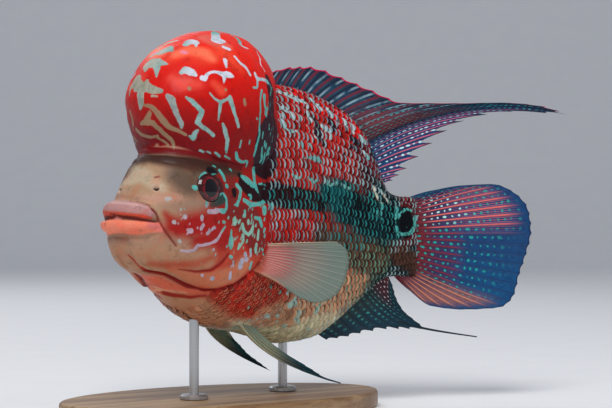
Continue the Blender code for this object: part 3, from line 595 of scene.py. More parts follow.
# The colours of the skin, laid one over another: each field is a colour, how softly it ends in pixels, and
# the line it covers, read off the photograph as x, y and half width. A few fields, noted beside them, are
# painted shade, shadow and highlight. FIELDS lie on the body under the hump's reds, LIP_FIELDS on the lips,
# and EDGE_FIELDS over all of these.
FIELDS = (
    ((186, 132, 100), 14, ((156, 298, 12), (180, 304, 18), (204, 312, 20), (222, 326, 12))),
    ((184, 40, 26), 16, ((228, 292, 15), (248, 296, 22), (270, 294, 24), (300, 286, 14))),
    ((214, 206, 168), 10, ((212, 336, 9), (245, 338, 10), (280, 336, 13), (312, 324, 12))),
    ((198, 142, 106), 12, ((262, 318, 8), (290, 312, 12), (316, 300, 12), (340, 296, 12), (356, 284, 10))),
    ((172, 24, 18), 12, ((280, 96, 16), (300, 130, 28), (305, 165, 28), (335, 150, 24), (345, 122, 12))),
    ((206, 18, 10), 7, ((270, 85, 3), (305, 97, 5), (340, 116, 5), (372, 145, 4))),
    ((168, 20, 12), 10, ((252, 240, 12), (285, 228, 14), (308, 230, 16), (330, 232, 12))),
    ((84, 60, 44), 12, ((320, 236, 10), (345, 246, 14), (365, 256, 18), (378, 262, 14))),
    ((112, 26, 32), 9, ((366, 156, 8), (382, 176, 10), (398, 192, 10), (414, 200, 7))),
    ((6, 66, 70), 18, ((328, 194, 14), (342, 200, 18), (354, 212, 14))),
    ((6, 30, 36), 14, ((352, 208, 14), (372, 222, 18), (392, 224, 14))),
    ((96, 28, 30), 7, ((406, 202, 7), (420, 214, 5), (420, 236, 5), (404, 242, 4))),
    ((72, 44, 32), 7, ((392, 248, 7), (402, 256, 11), (415, 262, 10), (417, 284, 8))),
    ((168, 136, 106), 12, ((120, 184, 18), (144, 188, 20), (156, 202, 14))),
    ((182, 162, 136), 8, ((131, 168, 4), (146, 177, 8), (162, 188, 5))),
    # Darker brown before the eye: partly the face's own colour, partly painted shade below the hump.
    ((98, 78, 64), 18, ((178, 176, 11), (190, 184, 13), (200, 172, 9))),
    ((150, 118, 98), 14, ((164, 204, 5), (184, 206, 6), (200, 204, 5))),
    ((184, 138, 116), 13, ((138, 197, 2), (152, 199, 5), (168, 198, 5), (180, 198, 2))),
    ((120, 34, 30), 6, ((228, 176, 5), (232, 196, 6), (232, 210, 8), (248, 222, 12), (256, 240, 9))),
    ((70, 30, 30), 5, ((206, 187, 11), (214, 188, 12))),
    ((46, 64, 58), 3, ((211, 205, 3), (217, 202, 5), (222, 199, 5))),
    # Painted shadow in a band under the hump's overhang, over somewhat darker brown skin.
    ((74, 48, 38), 9, ((134, 157, 2), (160, 160, 5), (190, 164, 7), (216, 168, 6), (240, 173, 5))),
    ((174, 130, 100), 12, ((116, 246, 8), (132, 258, 9), (152, 262, 12), (180, 262, 13), (205, 258, 11))),
    ((172, 84, 58), 9, ((150, 262, 2), (172, 264, 4), (196, 263, 4), (214, 256, 3))),
    # Painted shadow under the lower lip.
    ((142, 112, 98), 11, ((106, 238, 1.5), (117, 240, 3), (130, 241, 1.5))),
    ((158, 52, 38), 9, ((165, 214, 3), (171, 221, 5), (178, 230, 5))),
    ((156, 26, 22), 17, ((170, 228, 7), (192, 226, 14), (212, 224, 14), (222, 238, 10), (196, 240, 8))),
    ((190, 112, 80), 8, ((243, 264, 6), (232, 274, 7), (212, 280, 8), (192, 277, 6), (172, 268, 3))),
    ((142, 24, 18), 2.5, ((178, 268, 0.6), (196, 271, 1.2), (211, 270, 1.4), (221, 263, 1.4), (228, 254, 1))),
    ((168, 52, 40), 2, ((128, 256, 0.7), (136, 263, 1.1), (144, 270, 1.3))),
    ((210, 102, 76), 9, ((134, 275, 2), (146, 278, 6), (160, 285, 6), (176, 290, 5), (192, 293, 4), (208, 293, 2))),
    # Painted highlight low on the throat membrane.
    ((222, 150, 118), 6, ((150, 288, 1), (164, 292, 2), (184, 294, 1.6))),
    # Painted shadow: a dark red line just below the gill cover's lower edge.
    ((124, 14, 12), 2.5, ((143, 271, 1), (165, 275.5, 1.8), (187, 287, 2.2), (206, 291, 2.2), (226, 289, 1.8),
     (246, 277, 1.6))),
    ((150, 40, 30), 2.5, ((156, 293, 0.8), (172, 297, 1.5), (190, 299, 1.5), (206, 297, 0.8))),
)
LIP_FIELDS = (
    ((182, 134, 130), 3, ((103, 206, 5), (118, 204, 6), (136, 206, 6), (152, 212, 4))),
    ((196, 72, 50), 2.5, ((104, 212.5, 2), (112, 213.5, 2.4), (122, 214.5, 2.4), (142, 216, 2),
     (152, 218, 1))),
    ((236, 132, 104), 3, ((103, 226, 7), (122, 227, 8), (142, 228, 8), (159, 227, 5))),
    ((222, 120, 112), 5, ((150, 224, 4), (161, 228, 4))),
    # Painted shade in the slit between the lips.
    ((84, 24, 16), 2, ((110, 213.5, 0.5), (116, 215, 0.9), (124, 216.5, 1.3), (134, 217.5, 1.5), (148, 219.5, 1.2),
     (158, 221, 0.7))),
)
EDGE_FIELDS = (
    # Pale peach washes over the top of the hump, here and in the next field: partly its own colour, partly painted
    # light from above.
    ((236, 70, 44), 22, ((168, 60, 2), (186, 50, 5), (204, 60, 3), (222, 50, 6), (240, 68, 2))),
    ((250, 112, 80), 10, ((176, 54, 3), (190, 50, 4), (203, 52, 5), (212, 58, 3))),
    ((228, 140, 170), 4, ((182.5, 51.5, 1.2), (185.5, 52.5, 1.2))),
    ((228, 92, 78), 9, ((204, 36, 3), (212, 41, 4), (226, 46, 3))),
    ((226, 66, 52), 10, ((172, 78, 4), (184, 84, 6), (198, 84, 4))),
    ((228, 70, 50), 8, ((214, 84, 3), (222, 91, 4))),
    ((108, 8, 14), 3, ((134, 149, 2.6), (165, 150, 3), (196, 154, 3), (222, 161, 3), (242, 168, 2.4))),
    # Painted shadow in a band below the hump's lower edge.
    ((60, 36, 30), 7, ((134, 155.5, 2.4), (165, 157.5, 4), (196, 161.5, 4.4), (228, 169, 3.6))),
    # Painted shade: a dark red line in the fold above the upper lip and round the mouth's corner.
    ((118, 34, 28), 2, ((118, 200.5, 0.5), (137, 202, 0.6), (149, 205.5, 0.6), (156, 213, 0.7), (160, 222, 0.9),
     (165, 231, 1.1), (170, 238, 1.1), (176, 246, 0.7))),
    # Painted highlight along the top edge of the upper lip.
    ((210, 172, 164), 2.2, ((112, 203, 0.3), (124, 203.5, 0.5), (137, 205, 0.5), (147, 208, 0.4))),
    ((200, 166, 142), 1.6, ((152.9, 188.6, 0.9), (156.4, 185, 0.9), (160, 188.6, 0.9), (156.4, 192.2, 0.9),
     (152.9, 188.6, 0.9))),
    # Painted shade in the nostril's hole.
    ((26, 10, 8), 1.3, ((155.4, 188.5, 1.6), (157.4, 188.8, 1.6))),
    ((120, 50, 40), 2, ((155, 177.5, 0.8), (159, 177, 0.8))),
)
# The hump's reds, from its top down: lighter toward the top, partly its own colour and partly painted light from
# above.
HUMP_TOP = (240, 44, 24)
HUMP_RED = (212, 20, 8)
HUMP_LOW_RED = (132, 0, 2)
HUMP_PLUM = (98, 6, 22)
SNOUT = (164, 126, 102)
BACK = (150, 22, 16)
BREAST = (178, 66, 46)
BELLY = (214, 206, 168)
TAIL_DARK = (14, 40, 44)
PLUM_SHARE = 0.85
SHARP_PIXELS = 3.0


def paint(colour):
    """A colour named in 0 to 255 as the light it gives off."""
    c = np.asarray(colour, float) / 255
    return np.where(c <= 0.04045, c / 12.92, ((c + 0.055) / 1.055) ** 2.4)


def blend(low, high, share):
    """Colours mixed point by point."""
    share = np.asarray(share)[:, None]
    return low * (1 - share) + high * share


def layered(first, *layers):
    """Colours laid over a first one, each by its share at every point."""
    colour = paint(first)
    for tint, share in layers:
        colour = blend(colour, paint(tint), share)
    return colour


def lay(fields):
    """Fields of colour laid on the skin."""
    return [(paint(colour), soft_px * PIXEL, laid(line)) for colour, soft_px, line in fields]


def painted(colour, points, fields, share=1.0, lines_from=LINES_RIGHT_FROM):
    """Laid fields of colour, one after another, over a ground; sharp ones keep clear of the middle."""
    for tint, edge, line in fields:
        right_from = FIELDS_RIGHT_FROM if edge > SHARP_PIXELS * PIXEL else lines_from
        depth = both_sides(points, [line], right_from=right_from)
        colour = blend(colour, tint, soft(depth, -edge / 2, edge / 2) * share)
    return colour


body_fields = lay(FIELDS)
lip_fields = lay(LIP_FIELDS)
edge_fields = lay(EDGE_FIELDS)


def ground(points):
    """The ground colour of skin and scales at each straight place, painted shade and highlights included: body,
    then hump, then lips and edges.
    """
    s, _, z = points.T
    top, bottom = body_at(s)[:2]
    height = (z - bottom) / (top - bottom)
    colour = layered(
        BELLY,
        (BREAST, np.maximum(soft(height, 0.04, 0.22), soft(s, 0.078, 0.062))),
        (BACK, soft(height, 0.30, 0.52)),
        (TAIL_DARK, soft(s, 0.150, 0.176)),
        (SNOUT, soft(s, 0.052, 0.034)),
    )
    colour = painted(colour, points, body_fields)
    # The hump lightens toward its top: partly its own colour, partly painted light from above.
    hump_colour = layered(
        HUMP_LOW_RED,
        (HUMP_RED, soft(z, 0.044, 0.074)),
        (HUMP_TOP, soft(z, 0.068, 0.096)),
        (HUMP_PLUM, soft(z, 0.056, 0.030) * soft(s, 0.056, 0.038) * PLUM_SHARE),
    )
    colour = blend(colour, hump_colour, soft(off_body(points), 0.0002, 0.0012) * soft(z, 0.026, 0.031))
    colour = painted(colour, points, lip_fields, soft(s, 0.024, 0.020), FIELDS_RIGHT_FROM)
    return painted(colour, points, edge_fields)


# The markings over the ground: pale blue-white strokes and dots, duller fawn ones low on the front of the
# hump, and black patches. Each line is x, y and half width, read off the photograph.
PALE = (
    ((180.5, 36, 1.3), (188.2, 33.8, 1.4), (198.7, 32.9, 0.9)),
    ((158, 48.7, 1.8), (164, 44.8, 2), (170.6, 42.6, 2.2), (177.8, 41.3, 1.3)),
    ((149.7, 56.9, 1.8), (156.3, 53.8, 1.7), (164, 50.9, 2), (169.5, 48.7, 2.6), (171.9, 51, 1.3)),
    ((145.9, 70.1, 1.3), (147.5, 64.1, 2.6), (155.2, 62.4, 3.7), (161.8, 63, 2.6), (167.3, 64.1, 0.9)),
    ((156.3, 62.4, 4.4), (156.9, 69, 2.9), (156.3, 76.7, 0.7)),
    ((186, 44.8, 1.8), (190.4, 41.5, 2.2), (195.9, 42.6, 2.2), (196.1, 46.5, 1.3)),
    ((214.6, 31.6, 2), (215.7, 36, 2.6), (216.8, 40.4, 3.1), (222.3, 41, 1.5)),
    ((216.8, 33.3, 1.8), (222.3, 32.9, 1)),
    ((230.6, 34.4, 0.9), (237.7, 38.2, 2.2), (239.9, 41.5, 2.6), (241, 44.8, 2), (248.7, 48.1, 0.9)),
    ((223.4, 47, 1), (228.9, 49.4, 1)),
    ((234.4, 56.4, 0.7), (241, 63.5, 1), (246.5, 67.9, 1.1), (250.9, 74.5, 0.9)),
    ((256.4, 51.4, 0.8), (259.7, 58, 1.1), (260.8, 64.6, 1), (265.2, 71.2, 0.8)),
    ((270.7, 72.3, 0.7), (274, 77.8, 0.7)),
    ((255.1, 73.4, 0.9), (257.5, 78.9, 1.3), (263, 79.5, 1.1), (268.5, 82.2, 1), (271.3, 87.7, 1.1),
     (270.2, 95.4, 0.9)),
    ((257.5, 78.9, 1), (257.7, 87.7, 1), (253.3, 87.5, 0.9)),
    ((181.6, 72.3, 2.2), (186, 69.6, 3.7), (191.5, 72.3, 3.7), (195, 74.7, 2)),
    ((203.1, 78.4, 3.1), (204.2, 80, 2.4), (206.9, 74.5, 1.8), (211.3, 72.3, 1.3), (216.8, 71.8, 1.5),
     (222.3, 74.5, 2.4), (228.4, 74.5, 3.3), (231.7, 76.2, 1.5)),
    ((224, 76.7, 2.2), (223.4, 82.8, 0.9)),
    ((225.6, 59.7, 2), (226.7, 66.8, 1)),
    ((186, 97.1, 1.3), (191.5, 100.9, 2.4), (197, 106.4, 2.4), (202.5, 111.9, 2.6), (199.2, 118.5, 2.6),
     (197, 121.8, 2.4), (201.4, 126.2, 2.2), (206.9, 129.5, 1.8), (213.5, 135.6, 2)),
    ((209.7, 93.2, 1), (214.6, 98.7, 1.1), (220.7, 102, 1.8), (226.2, 99.8, 1.4), (230, 97.6, 2.4)),
    ((220.7, 102, 1.5), (219.6, 110.8, 1.5), (218.5, 119.6, 1)),
    ((230, 98.2, 2.2), (232.8, 106.4, 1.8), (235.5, 116.3, 1.3), (238.3, 126.2, 1.5)),
    ((222.9, 123.5, 0.9), (225.1, 130.6, 2.4), (227.8, 140.5, 1.8), (226.2, 149.3, 1.5), (226.7, 152.6, 0.9)),
    ((189.3, 136.1, 1.1), (193.2, 138.3, 2.6), (194.8, 132.8, 2.6), (197.6, 130.6, 1.3)),
    ((129.4, 95.4, 1.3), (131, 86.6, 2.9), (136.5, 81.1, 3.7), (139.8, 83.3, 3.7)),
    ((136.5, 86.6, 4.4), (145.3, 86.6, 5.3), (153, 89.9, 4.2), (161.3, 91, 2.2)),
    ((146.4, 81.1, 1.8), (145.9, 86.6, 3.3)),
    ((151.9, 95.4, 1.5), (156.9, 96.5, 1.1)),
    ((140.4, 93.2, 3.3), (140.9, 102, 2.9), (140.4, 108.6, 1.3)),
    ((167.3, 95.4, 2), (171.7, 99.8, 4.2), (173.9, 106.4, 3.1), (177.2, 115.2, 2.6), (181.6, 124, 2.6),
     (181.6, 127.3, 1.5)),
    ((199.8, 150.4, 1.4), (203.8, 152.1, 1.2)),
    ((206.9, 151.5, 0.9), (210.2, 153.2, 0.9)),
    ((215.2, 152.6, 1.3), (219.6, 156.5, 1.1)),
    ((225.1, 155.9, 1), (230, 159.2, 0.9)),
    ((236.1, 152.6, 1.3), (237.2, 159.2, 1.5), (242.1, 162.5, 1.3), (247.6, 160.9, 1.1), (247.1, 166.9, 0.7)),
    ((256.4, 118.5, 1.1), (256.9, 118.7, 1)),
    ((241.6, 140.5, 1), (239.9, 147.1, 0.9)),
    ((250.4, 140.5, 0.8), (249.8, 143.8, 0.7)),
    ((261.9, 91, 0.8), (260.3, 102, 0.8), (259.7, 118.5, 0.8), (259.7, 135, 0.8), (256.4, 146, 0.9),
     (254.4, 155.9, 0.8)),
    ((264.1, 95.4, 0.9), (264.7, 106.4, 0.9)),
    ((261.9, 148.2, 0.9), (261.9, 159.2, 0.9), (260.3, 162, 0.8)),
    ((269.6, 147.1, 0.9), (268.5, 150.4, 0.9)),
    ((267.4, 108.6, 0.8), (266.3, 115.2, 0.8)),
    ((272.4, 136.1, 0.8), (271.8, 141.6, 0.8)),
    ((201.2, 176.8, 2.5), (204.6, 173.4, 1.6)),
    ((199.2, 179.1, 1.6), (201.2, 176.8, 2.3)),
    ((194.3, 187.7, 2.3), (194.6, 188.2, 2.1)),
    ((205.8, 202.7, 1.8), (205.8, 205.5, 1.6)),
    ((216.7, 195.8, 1.1), (222.4, 192.9, 1.1), (225.9, 198.1, 1), (226.6, 207.2, 1.1), (223.6, 213, 1.4),
     (215.5, 209, 1.1)),
    ((208.6, 211.8, 2.3), (215.5, 211.8, 2.5), (222.4, 209.5, 1.4)),
    ((208.6, 176.3, 0.8), (212.1, 174.5, 1), (215.5, 174, 0.7)),
    ((219, 170.5, 1.1), (222.4, 175.1, 1.4), (224.5, 180.8, 1.1)),
    ((226.4, 186, 1.7), (226.7, 186.4, 1.5)),
    ((231, 169.6, 1.6), (231.6, 170.1, 1.4)),
    ((213.2, 165.9, 1.1), (215, 166.8, 0.9)),
    ((243.1, 176.3, 1.6), (247.7, 179.7, 2.8), (252.8, 184.3, 2.5), (254.8, 186, 1.4)),
    ((254.6, 169.4, 1.4), (255.7, 182, 1.4), (259.2, 194, 1.4)),
    ((260.3, 183.7, 1.1), (266, 183.7, 1.4), (264.9, 191.2, 1)),
    ((236.2, 185.4, 1.6), (240.2, 190, 1.4), (238.7, 198.1, 1.4), (236.4, 205, 1.4)),
    ((247.1, 195.2, 0.9), (250, 195.2, 1.1), (249.4, 199.2, 0.9)),
    ((243.1, 200.4, 1.6), (250, 205, 2.3), (259.2, 203.8, 2.1), (264.9, 200.4, 1.4)),
    ((234.5, 205.2, 1.1), (234.8, 205.4, 0.9)),
    ((271.8, 204.4, 1.6), (274.1, 205.5, 1.6)),
    ((173.6, 222.2, 2.3), (174, 222.5, 2)),
    ((184.5, 216.7, 2.5), (184.9, 217.1, 2.3)),
    ((201.8, 217, 1.6), (201.8, 219.9, 1.5)),
    ((189.4, 231.1, 2.8), (191, 230.9, 2.5)),
    ((202.9, 225, 1.7), (200.6, 229.1, 1.7)),
    ((206.9, 233.6, 1.6), (209.2, 231.4, 1.4)),
    ((211.5, 229.6, 1.4), (213.8, 227.3, 1.3)),
    ((178.8, 240.5, 2), (179.7, 241.7, 1.6)),
    ((223.3, 221.9, 1.7), (224.7, 222.4, 1.4)),
    ((234.2, 219.9, 2), (234.2, 223.3, 1.7)),
    ((244, 210.7, 1.1), (244, 216.4, 1)),
    ((247.5, 221, 1.4), (247.7, 223.3, 1.1)),
    ((180, 250, 1.1), (186.8, 250.9, 1.3), (193.7, 250, 1.4), (197.7, 244.6, 1.7), (200.6, 245.4, 1.4),
     (209.8, 243.4, 1.4), (216.7, 240, 1.5), (220.7, 233.1, 1.1), (225.3, 226.2, 0.7)),
    ((212.7, 249.5, 1.6), (213, 250, 1.4)),
    ((241.9, 225, 1.6), (243.1, 231.4, 1.4), (247.7, 234.8, 1.4), (251.1, 230.2, 1.6), (252, 226.2, 1)),
    ((241.9, 234.8, 1.1), (243.1, 240.5, 1.1), (237.3, 248.6, 1.1)),
    ((254, 217.6, 1.6), (258.6, 218.7, 1.5), (260.3, 225.6, 1.4)),
    ((257.4, 230.2, 1), (256.3, 239.4, 1)),
    ((262.6, 209.5, 2.3), (262.8, 211.8, 2.1)),
    ((270.6, 207.2, 1.1), (271.2, 214.1, 1)),
    ((230.5, 238.8, 2.1), (230.5, 244.6, 2.5), (230.2, 247.4, 1.4)),
    ((231.3, 230.2, 0.9), (230.5, 234.8, 0.9)),
    ((249.4, 249.7, 1.1), (249.4, 255.5, 1)),
    ((244.2, 253.7, 1.4), (245.6, 259.5, 1.4)),
    ((240.8, 260.6, 1.8), (239.1, 265.6, 2.3)),
    ((229.3, 256.4, 1.4), (230, 257.1, 1.1)),
    ((250, 262.3, 1.1), (248.3, 268.1, 1.1)),
    ((255.1, 244, 1), (254, 252, 1)),
    ((229.1, 272.1, 1.3), (228.4, 277.8, 1.3)),
    ((211.3, 277.3, 2.4), (211.9, 277.7, 2.1)),
    ((201.2, 274.1, 1.4), (201.5, 275, 1.3)),
    ((166.2, 199.2, 2.3), (170.8, 198.6, 1.6)),
    ((260.3, 248.6, 0.9), (263.8, 254.3, 1)),
    ((265.5, 263.5, 1.4), (266, 265.2, 1.1)),
    ((278.2, 91.5, 0.9), (287.3, 94.5, 1.5), (296, 98.4, 2.3), (303.4, 101, 1.5)),
    ((310.3, 98.4, 0.8), (315.1, 103.6, 1.1), (319.4, 107.5, 2.3), (321.1, 109.7, 1.2)),
    ((325.5, 107.1, 0.7), (329.8, 112.3, 2.3), (332, 115.7, 1.3)),
    ((336.7, 114.9, 0.9), (338.5, 120.1, 1.5), (338.5, 124.4, 0.9)),
    ((343.7, 119.2, 0.8), (346.3, 123.5, 1.8), (347.6, 130.5, 0.8)),
    ((351.5, 123.5, 0.7), (353.6, 128.7, 1.6), (353.2, 133.9, 0.7)),
    ((360.6, 134.8, 0.7), (363.6, 140.9, 2.3), (365.3, 144.3, 0.9)),
    ((363.6, 151.3, 0.8), (366.2, 155.6, 1.8), (369.7, 160.8, 0.8)),
    ((279.5, 107.9, 0.9), (284.7, 107.1, 1.6), (287.3, 109.7, 1.9), (281.3, 116.6, 1.3), (282.1, 123.5, 1.5),
     (286.5, 128.7, 1.3), (291.7, 131.3, 1.5), (298.6, 130.5, 1.6), (300.5, 127.9, 0.9)),
    ((288.6, 111.4, 1.2), (292.5, 116.6, 1.6), (295.1, 120.1, 0.8)),
    ((294.3, 109.7, 0.8), (295.1, 114, 0.8)),
    ((300.3, 116.6, 1.9), (300.3, 120.1, 1.5)),
    ((307.3, 105.3, 0.8), (307.3, 108.8, 0.8)),
    ((308.1, 112.3, 1.2), (309.9, 118.3, 1.8), (310.7, 122.7, 0.8)),
    ((306.8, 123.5, 0.7), (307.3, 127, 0.7)),
    ((322, 126.1, 1.1), (325.5, 128.7, 1.9), (329.8, 130.5, 1.6), (331.5, 135.7, 1.5), (329.8, 139.1, 0.8)),
    ((313.3, 130.5, 1.1), (314.2, 135.7, 1.1), (316.8, 139.1, 0.7)),
    ((302.9, 144.3, 1.6), (303.8, 149.5, 1.2)),
    ((309.4, 144.3, 1.3), (312.5, 146.9, 1.3)),
    ((302.1, 158.2, 1.5), (306.4, 157.3, 1.3), (313.3, 158.2, 1.8), (320.3, 159.9, 1.6), (322, 162.5, 0.9)),
    ((292, 174.5, 1.2), (298.5, 178.5, 2.4), (303, 176, 1.2)),
    ((308, 177.5, 1.3), (314, 182, 2.5), (319.5, 179.5, 1.3)),
    ((325, 180.5, 1.3), (331, 185.5, 2.3), (337, 182.5, 1.3)),
    ((342, 184, 1.1), (347, 188.5, 1.9), (351, 187, 0.9)),
    ((372.9, 186.2, 0.8), (376.5, 193.7, 1.4), (378.6, 200.8, 0.8)),
    ((380.9, 190.4, 0.8), (385.1, 196.7, 1.4), (389.5, 202.8, 0.8)),
    ((382.6, 203.4, 1.5), (381.8, 211.2, 1.2), (381.8, 219.8, 0.9)),
    ((377.9, 212, 1.4), (377.5, 218.9, 0.9)),
    ((396, 203.4, 0.9), (397.3, 209.4, 0.9), (395.4, 215.5, 0.9), (396.4, 226.7, 1), (398.1, 235.3, 0.9)),
    ((398.1, 217.2, 1.4), (401.6, 212, 1.2), (406.7, 208.6, 1.2), (411.1, 210.7, 1.2)),
    ((415.4, 217.2, 2.1), (414.5, 226.7, 1.9), (411.1, 233.1, 2.1), (401.6, 234.4, 1.9), (396.8, 231, 1.2)),
    ((406.7, 226.5, 1.3), (407, 226.8, 1.1)),
    ((229.7, 256.5, 1.7), (230.9, 257.2, 1.5)),
    ((266, 315.6, 2.4), (267.8, 316.8, 2.7)),
    ((276.9, 315.3, 2.2), (278.1, 316.8, 2.2)),
    ((288.4, 292.6, 2.2), (289, 293.5, 1.9)),
    ((291.5, 303.5, 2.9), (294.5, 300.4, 3.2), (295.3, 303.5, 2.2)),
    ((301.2, 301, 1.7), (301.6, 301.8, 1.5)),
    ((314.2, 304.1, 2.2), (314.7, 304.9, 1.7)),
    ((297.5, 313.2, 1.9), (298.7, 315.6, 2.7), (295.7, 318.6, 1.7)),
    ((298.1, 322.2, 1.9), (299, 322.9, 1.6)),
    ((284.2, 325.6, 1.9), (286.6, 326.2, 1.6)),
    ((307.8, 328.3, 1.7), (310.2, 328.9, 1.5)),
    ((319.3, 305.9, 1.9), (315.7, 311.9, 1.7)),
    ((235.7, 328.3, 1.7), (236.4, 328.9, 1.5)),
    ((280.6, 291.4, 1.2), (281, 292.1, 1)),
    ((283.6, 288.3, 1.2), (283.9, 288.9, 1)),
    ((270.9, 285.9, 1.2), (271.5, 288.9, 1)),
)
FAWN = (
    ((143.7, 105.3, 1.5), (150.8, 106.4, 2.2), (157.4, 113, 3.1), (164, 121.8, 3.3), (169.5, 127.3, 2.4),
     (177.2, 130.6, 2), (186, 135, 1.3)),
    ((141.5, 124, 1.5), (145.3, 121.8, 3.1), (153, 122.9, 2.6), (158.5, 128.4, 2.2), (164, 133.9, 2.2),
     (170.6, 139.4, 2), (173.9, 144.9, 1.5), (173.9, 148.8, 0.9)),
    ((149.7, 113, 2.2), (146.4, 119.6, 2.6)),
    ((129.9, 111.9, 2.9), (132.1, 119.6, 2.2), (133.2, 125.1, 2.2)),
    ((136.5, 129.5, 1), (142, 135, 1.3), (150.8, 137.2, 1.5), (157.4, 136.1, 1.3)),
    ((157.4, 138.3, 1.1), (164, 141.6, 1.3), (168.4, 144.9, 0.9)),
    ((129.4, 129.5, 0.9), (132.1, 135, 1.1), (137.6, 141.6, 1.1)),
    ((189.3, 88.3, 2.2), (189.7, 88.8, 1.8)),
    ((244.3, 99.8, 1.3), (245.4, 104.2, 1.3)),
    ((225.6, 89.9, 1.4), (226.1, 90.1, 1.1)),
)
BLACK = (
    ((268, 80, 6.5), (271, 92, 10.5), (272, 118.5, 11), (271, 135, 11), (268, 151.5, 10.5),
     (264, 161.5, 8), (262, 167, 5)),
    ((208.1, 170.5, 2.3), (210.9, 171.7, 4.6), (215.5, 172.8, 1.8)),
    ((240.2, 174, 1.4), (241.9, 184.3, 3.9), (247.7, 190, 5.7), (255.7, 193.5, 8.6), (264.9, 193.5, 10.5),
     (274.1, 194, 11.2), (287, 195.5, 10.8), (300, 197.5, 10.4), (308.6, 199.2, 9.6), (317.2, 201.8, 8),
     (323.5, 204.3, 4.4)),
    ((233.3, 191.2, 2.3), (233.9, 195.8, 1.6)),
    ((313.3, 116.6, 1.6), (316.8, 123.5, 3.1), (318.5, 130.5, 3.1), (318.5, 139.1, 2.3)),
    ((330.7, 121.8, 2.9), (334.1, 127.9, 2.3)),
    ((352.3, 137.4, 2.3), (356.7, 142.2, 2.1)),
    ((349.7, 146.1, 1.6), (358.4, 149.5, 1.6)),
    ((344.5, 154.7, 1.4), (346.3, 161.7, 1.4)),
    ((323.7, 140.9, 1.4), (325.5, 146.9, 1.4)),
    ((328.4, 192.2, 1.5), (330.1, 197.4, 1.5)),
    ((389.5, 199.1, 2.9), (391.3, 213.7, 4.8), (391.3, 230.1, 4)),
    ((370.6, 196.5, 2.9), (372.3, 209.4, 4.8), (368.9, 216.3, 2.2)),
    ((359.4, 200.8, 2.2), (360.3, 218, 3.6), (359.4, 226.7, 1.5)),
    ((350.8, 203.4, 1.5), (351.7, 212.9, 2.1)),
    ((363.7, 223.2, 1.4), (365.4, 230.1, 1.4)),
    ((348.2, 245.6, 1), (346.5, 252.5, 1)),
    ((355.1, 257.6, 1.2), (352.5, 266.3, 1)),
    ((406.7, 212.9, 5.3), (406.7, 223.2, 6.5), (406.7, 230.1, 5.7)),
    ((374, 223.2, 1.7), (374.9, 231.8, 1.4)),
    ((339.6, 211.2, 1), (340.5, 219.8, 1)),
    ((324.1, 211.2, 1.2), (325.8, 218, 1)),
)
CYAN = (84, 176, 168)
PALE_FIELDS = (
    ((138, 180, 174), 20, ((150, 66, 24), (178, 88, 38), (214, 108, 38), (240, 118, 20), (200, 146, 14))),
    ((204, 218, 232), 24, ((186, 32, 12), (228, 52, 26), (200, 74, 14), (262, 60, 16))),
    ((160, 178, 164), 16, ((148, 62, 16), (160, 46, 12), (178, 38, 8))),
    ((156, 166, 148), 14, ((138, 84, 16), (150, 96, 12), (134, 114, 14))),
    ((150, 168, 164), 14, ((170, 98, 8), (180, 122, 7))),
    ((130, 185, 180), 14, ((194, 106, 9), (212, 100, 8), (232, 108, 8))),
    ((182, 160, 176), 8, ((170, 220, 12), (196, 232, 14), (216, 242, 12))),
    ((182, 160, 176), 8, ((185, 250, 9), (200, 240, 8), (212, 212, 8))),
    ((176, 170, 168), 6, ((166, 199, 6), (178, 214, 6), (179, 241, 5))),
    ((136, 190, 172), 8, ((232, 222, 6), (246, 226, 10), (256, 244, 8), (236, 244, 7))),
    ((176, 176, 196), 8, ((202, 276, 8), (232, 272, 8), (246, 258, 5))),
    ((176, 212, 214), 14, ((284, 104, 16), (326, 122, 20), (362, 146, 14))),
    ((168, 206, 196), 12, ((232, 328, 10), (268, 316, 10), (300, 304, 18), (312, 324, 10))),
    ((112, 176, 166), 10, ((291, 175, 7), (318, 180, 7), (348, 187, 6))),
    ((214, 206, 186), 5, ((374, 190, 5), (378, 198, 5), (386, 196, 5), (391, 203, 4))),
)
FAWN_COLOUR = (150, 128, 98)
BLACK_COLOUR = (4, 8, 14)
PLUM_COLOUR = (34, 22, 34)
SHIFT_RIGHT = (0.0025, 0.0, -0.0015)

pale_lines = [laid(mark) for mark in PALE]
fawn_lines = [laid(mark) for mark in FAWN]
black_lines = [laid(mark) for mark in BLACK]

# Small extra flecks, in areas from x to x and y to y, with how many and how long: dashes in the black of the
# hump, and dots over the cheek, the belly and the gill cover.
FLECK_AREAS = (
    (262, 274, 90, 162, 26, 3.0),
    (168, 234, 208, 266, 26, 0.8),
    (246, 318, 288, 334, 22, 0.9),
    (232, 266, 204, 264, 48, 1.6),
)
FLECK_SEED = 26

rng = np.random.default_rng(FLECK_SEED)
for x0, x1, y0, y1, count, long in FLECK_AREAS:
    for _ in range(count):
        x = rng.uniform(x0, x1)
        y = rng.uniform(y0, y1)
        size = rng.uniform(0.4, 0.8)
        reach = rng.uniform(0.5, 1.0) * long
        pale_lines.append(laid(((x, y - reach, size * 0.8), (x - 0.5, y + reach, size))))


def marks(points):
    """How deep each place lies in the pale, fawn and black marks, in millimetres."""
    kinds = (pale_lines, fawn_lines, black_lines)
    return np.stack([both_sides(points, lines, SHIFT_RIGHT, MARKS_RIGHT_FROM) * 1000 for lines in kinds], axis=1)


pale_fields = lay(PALE_FIELDS)


def keep(mesh, name, values):
    """Stores a number or a colour on each point of a mesh."""
    values = np.asarray(values, np.float32)
    kind, slot = ("FLOAT", "value") if values.ndim == 1 else ("FLOAT_VECTOR", "vector")
    mesh.attributes.new(name, kind, "POINT").data.foreach_set(slot, values.ravel())


def bend_to_pose(piece, points):
    """Puts a piece's straight points in its mesh, bent to the pose, and keeps the straight ones beside."""
    keep(piece.data, "straight", points)
    piece.data.vertices.foreach_set("co", posed(points).astype(np.float32).ravel())
    piece.data.shade_smooth()
    piece.data.update()


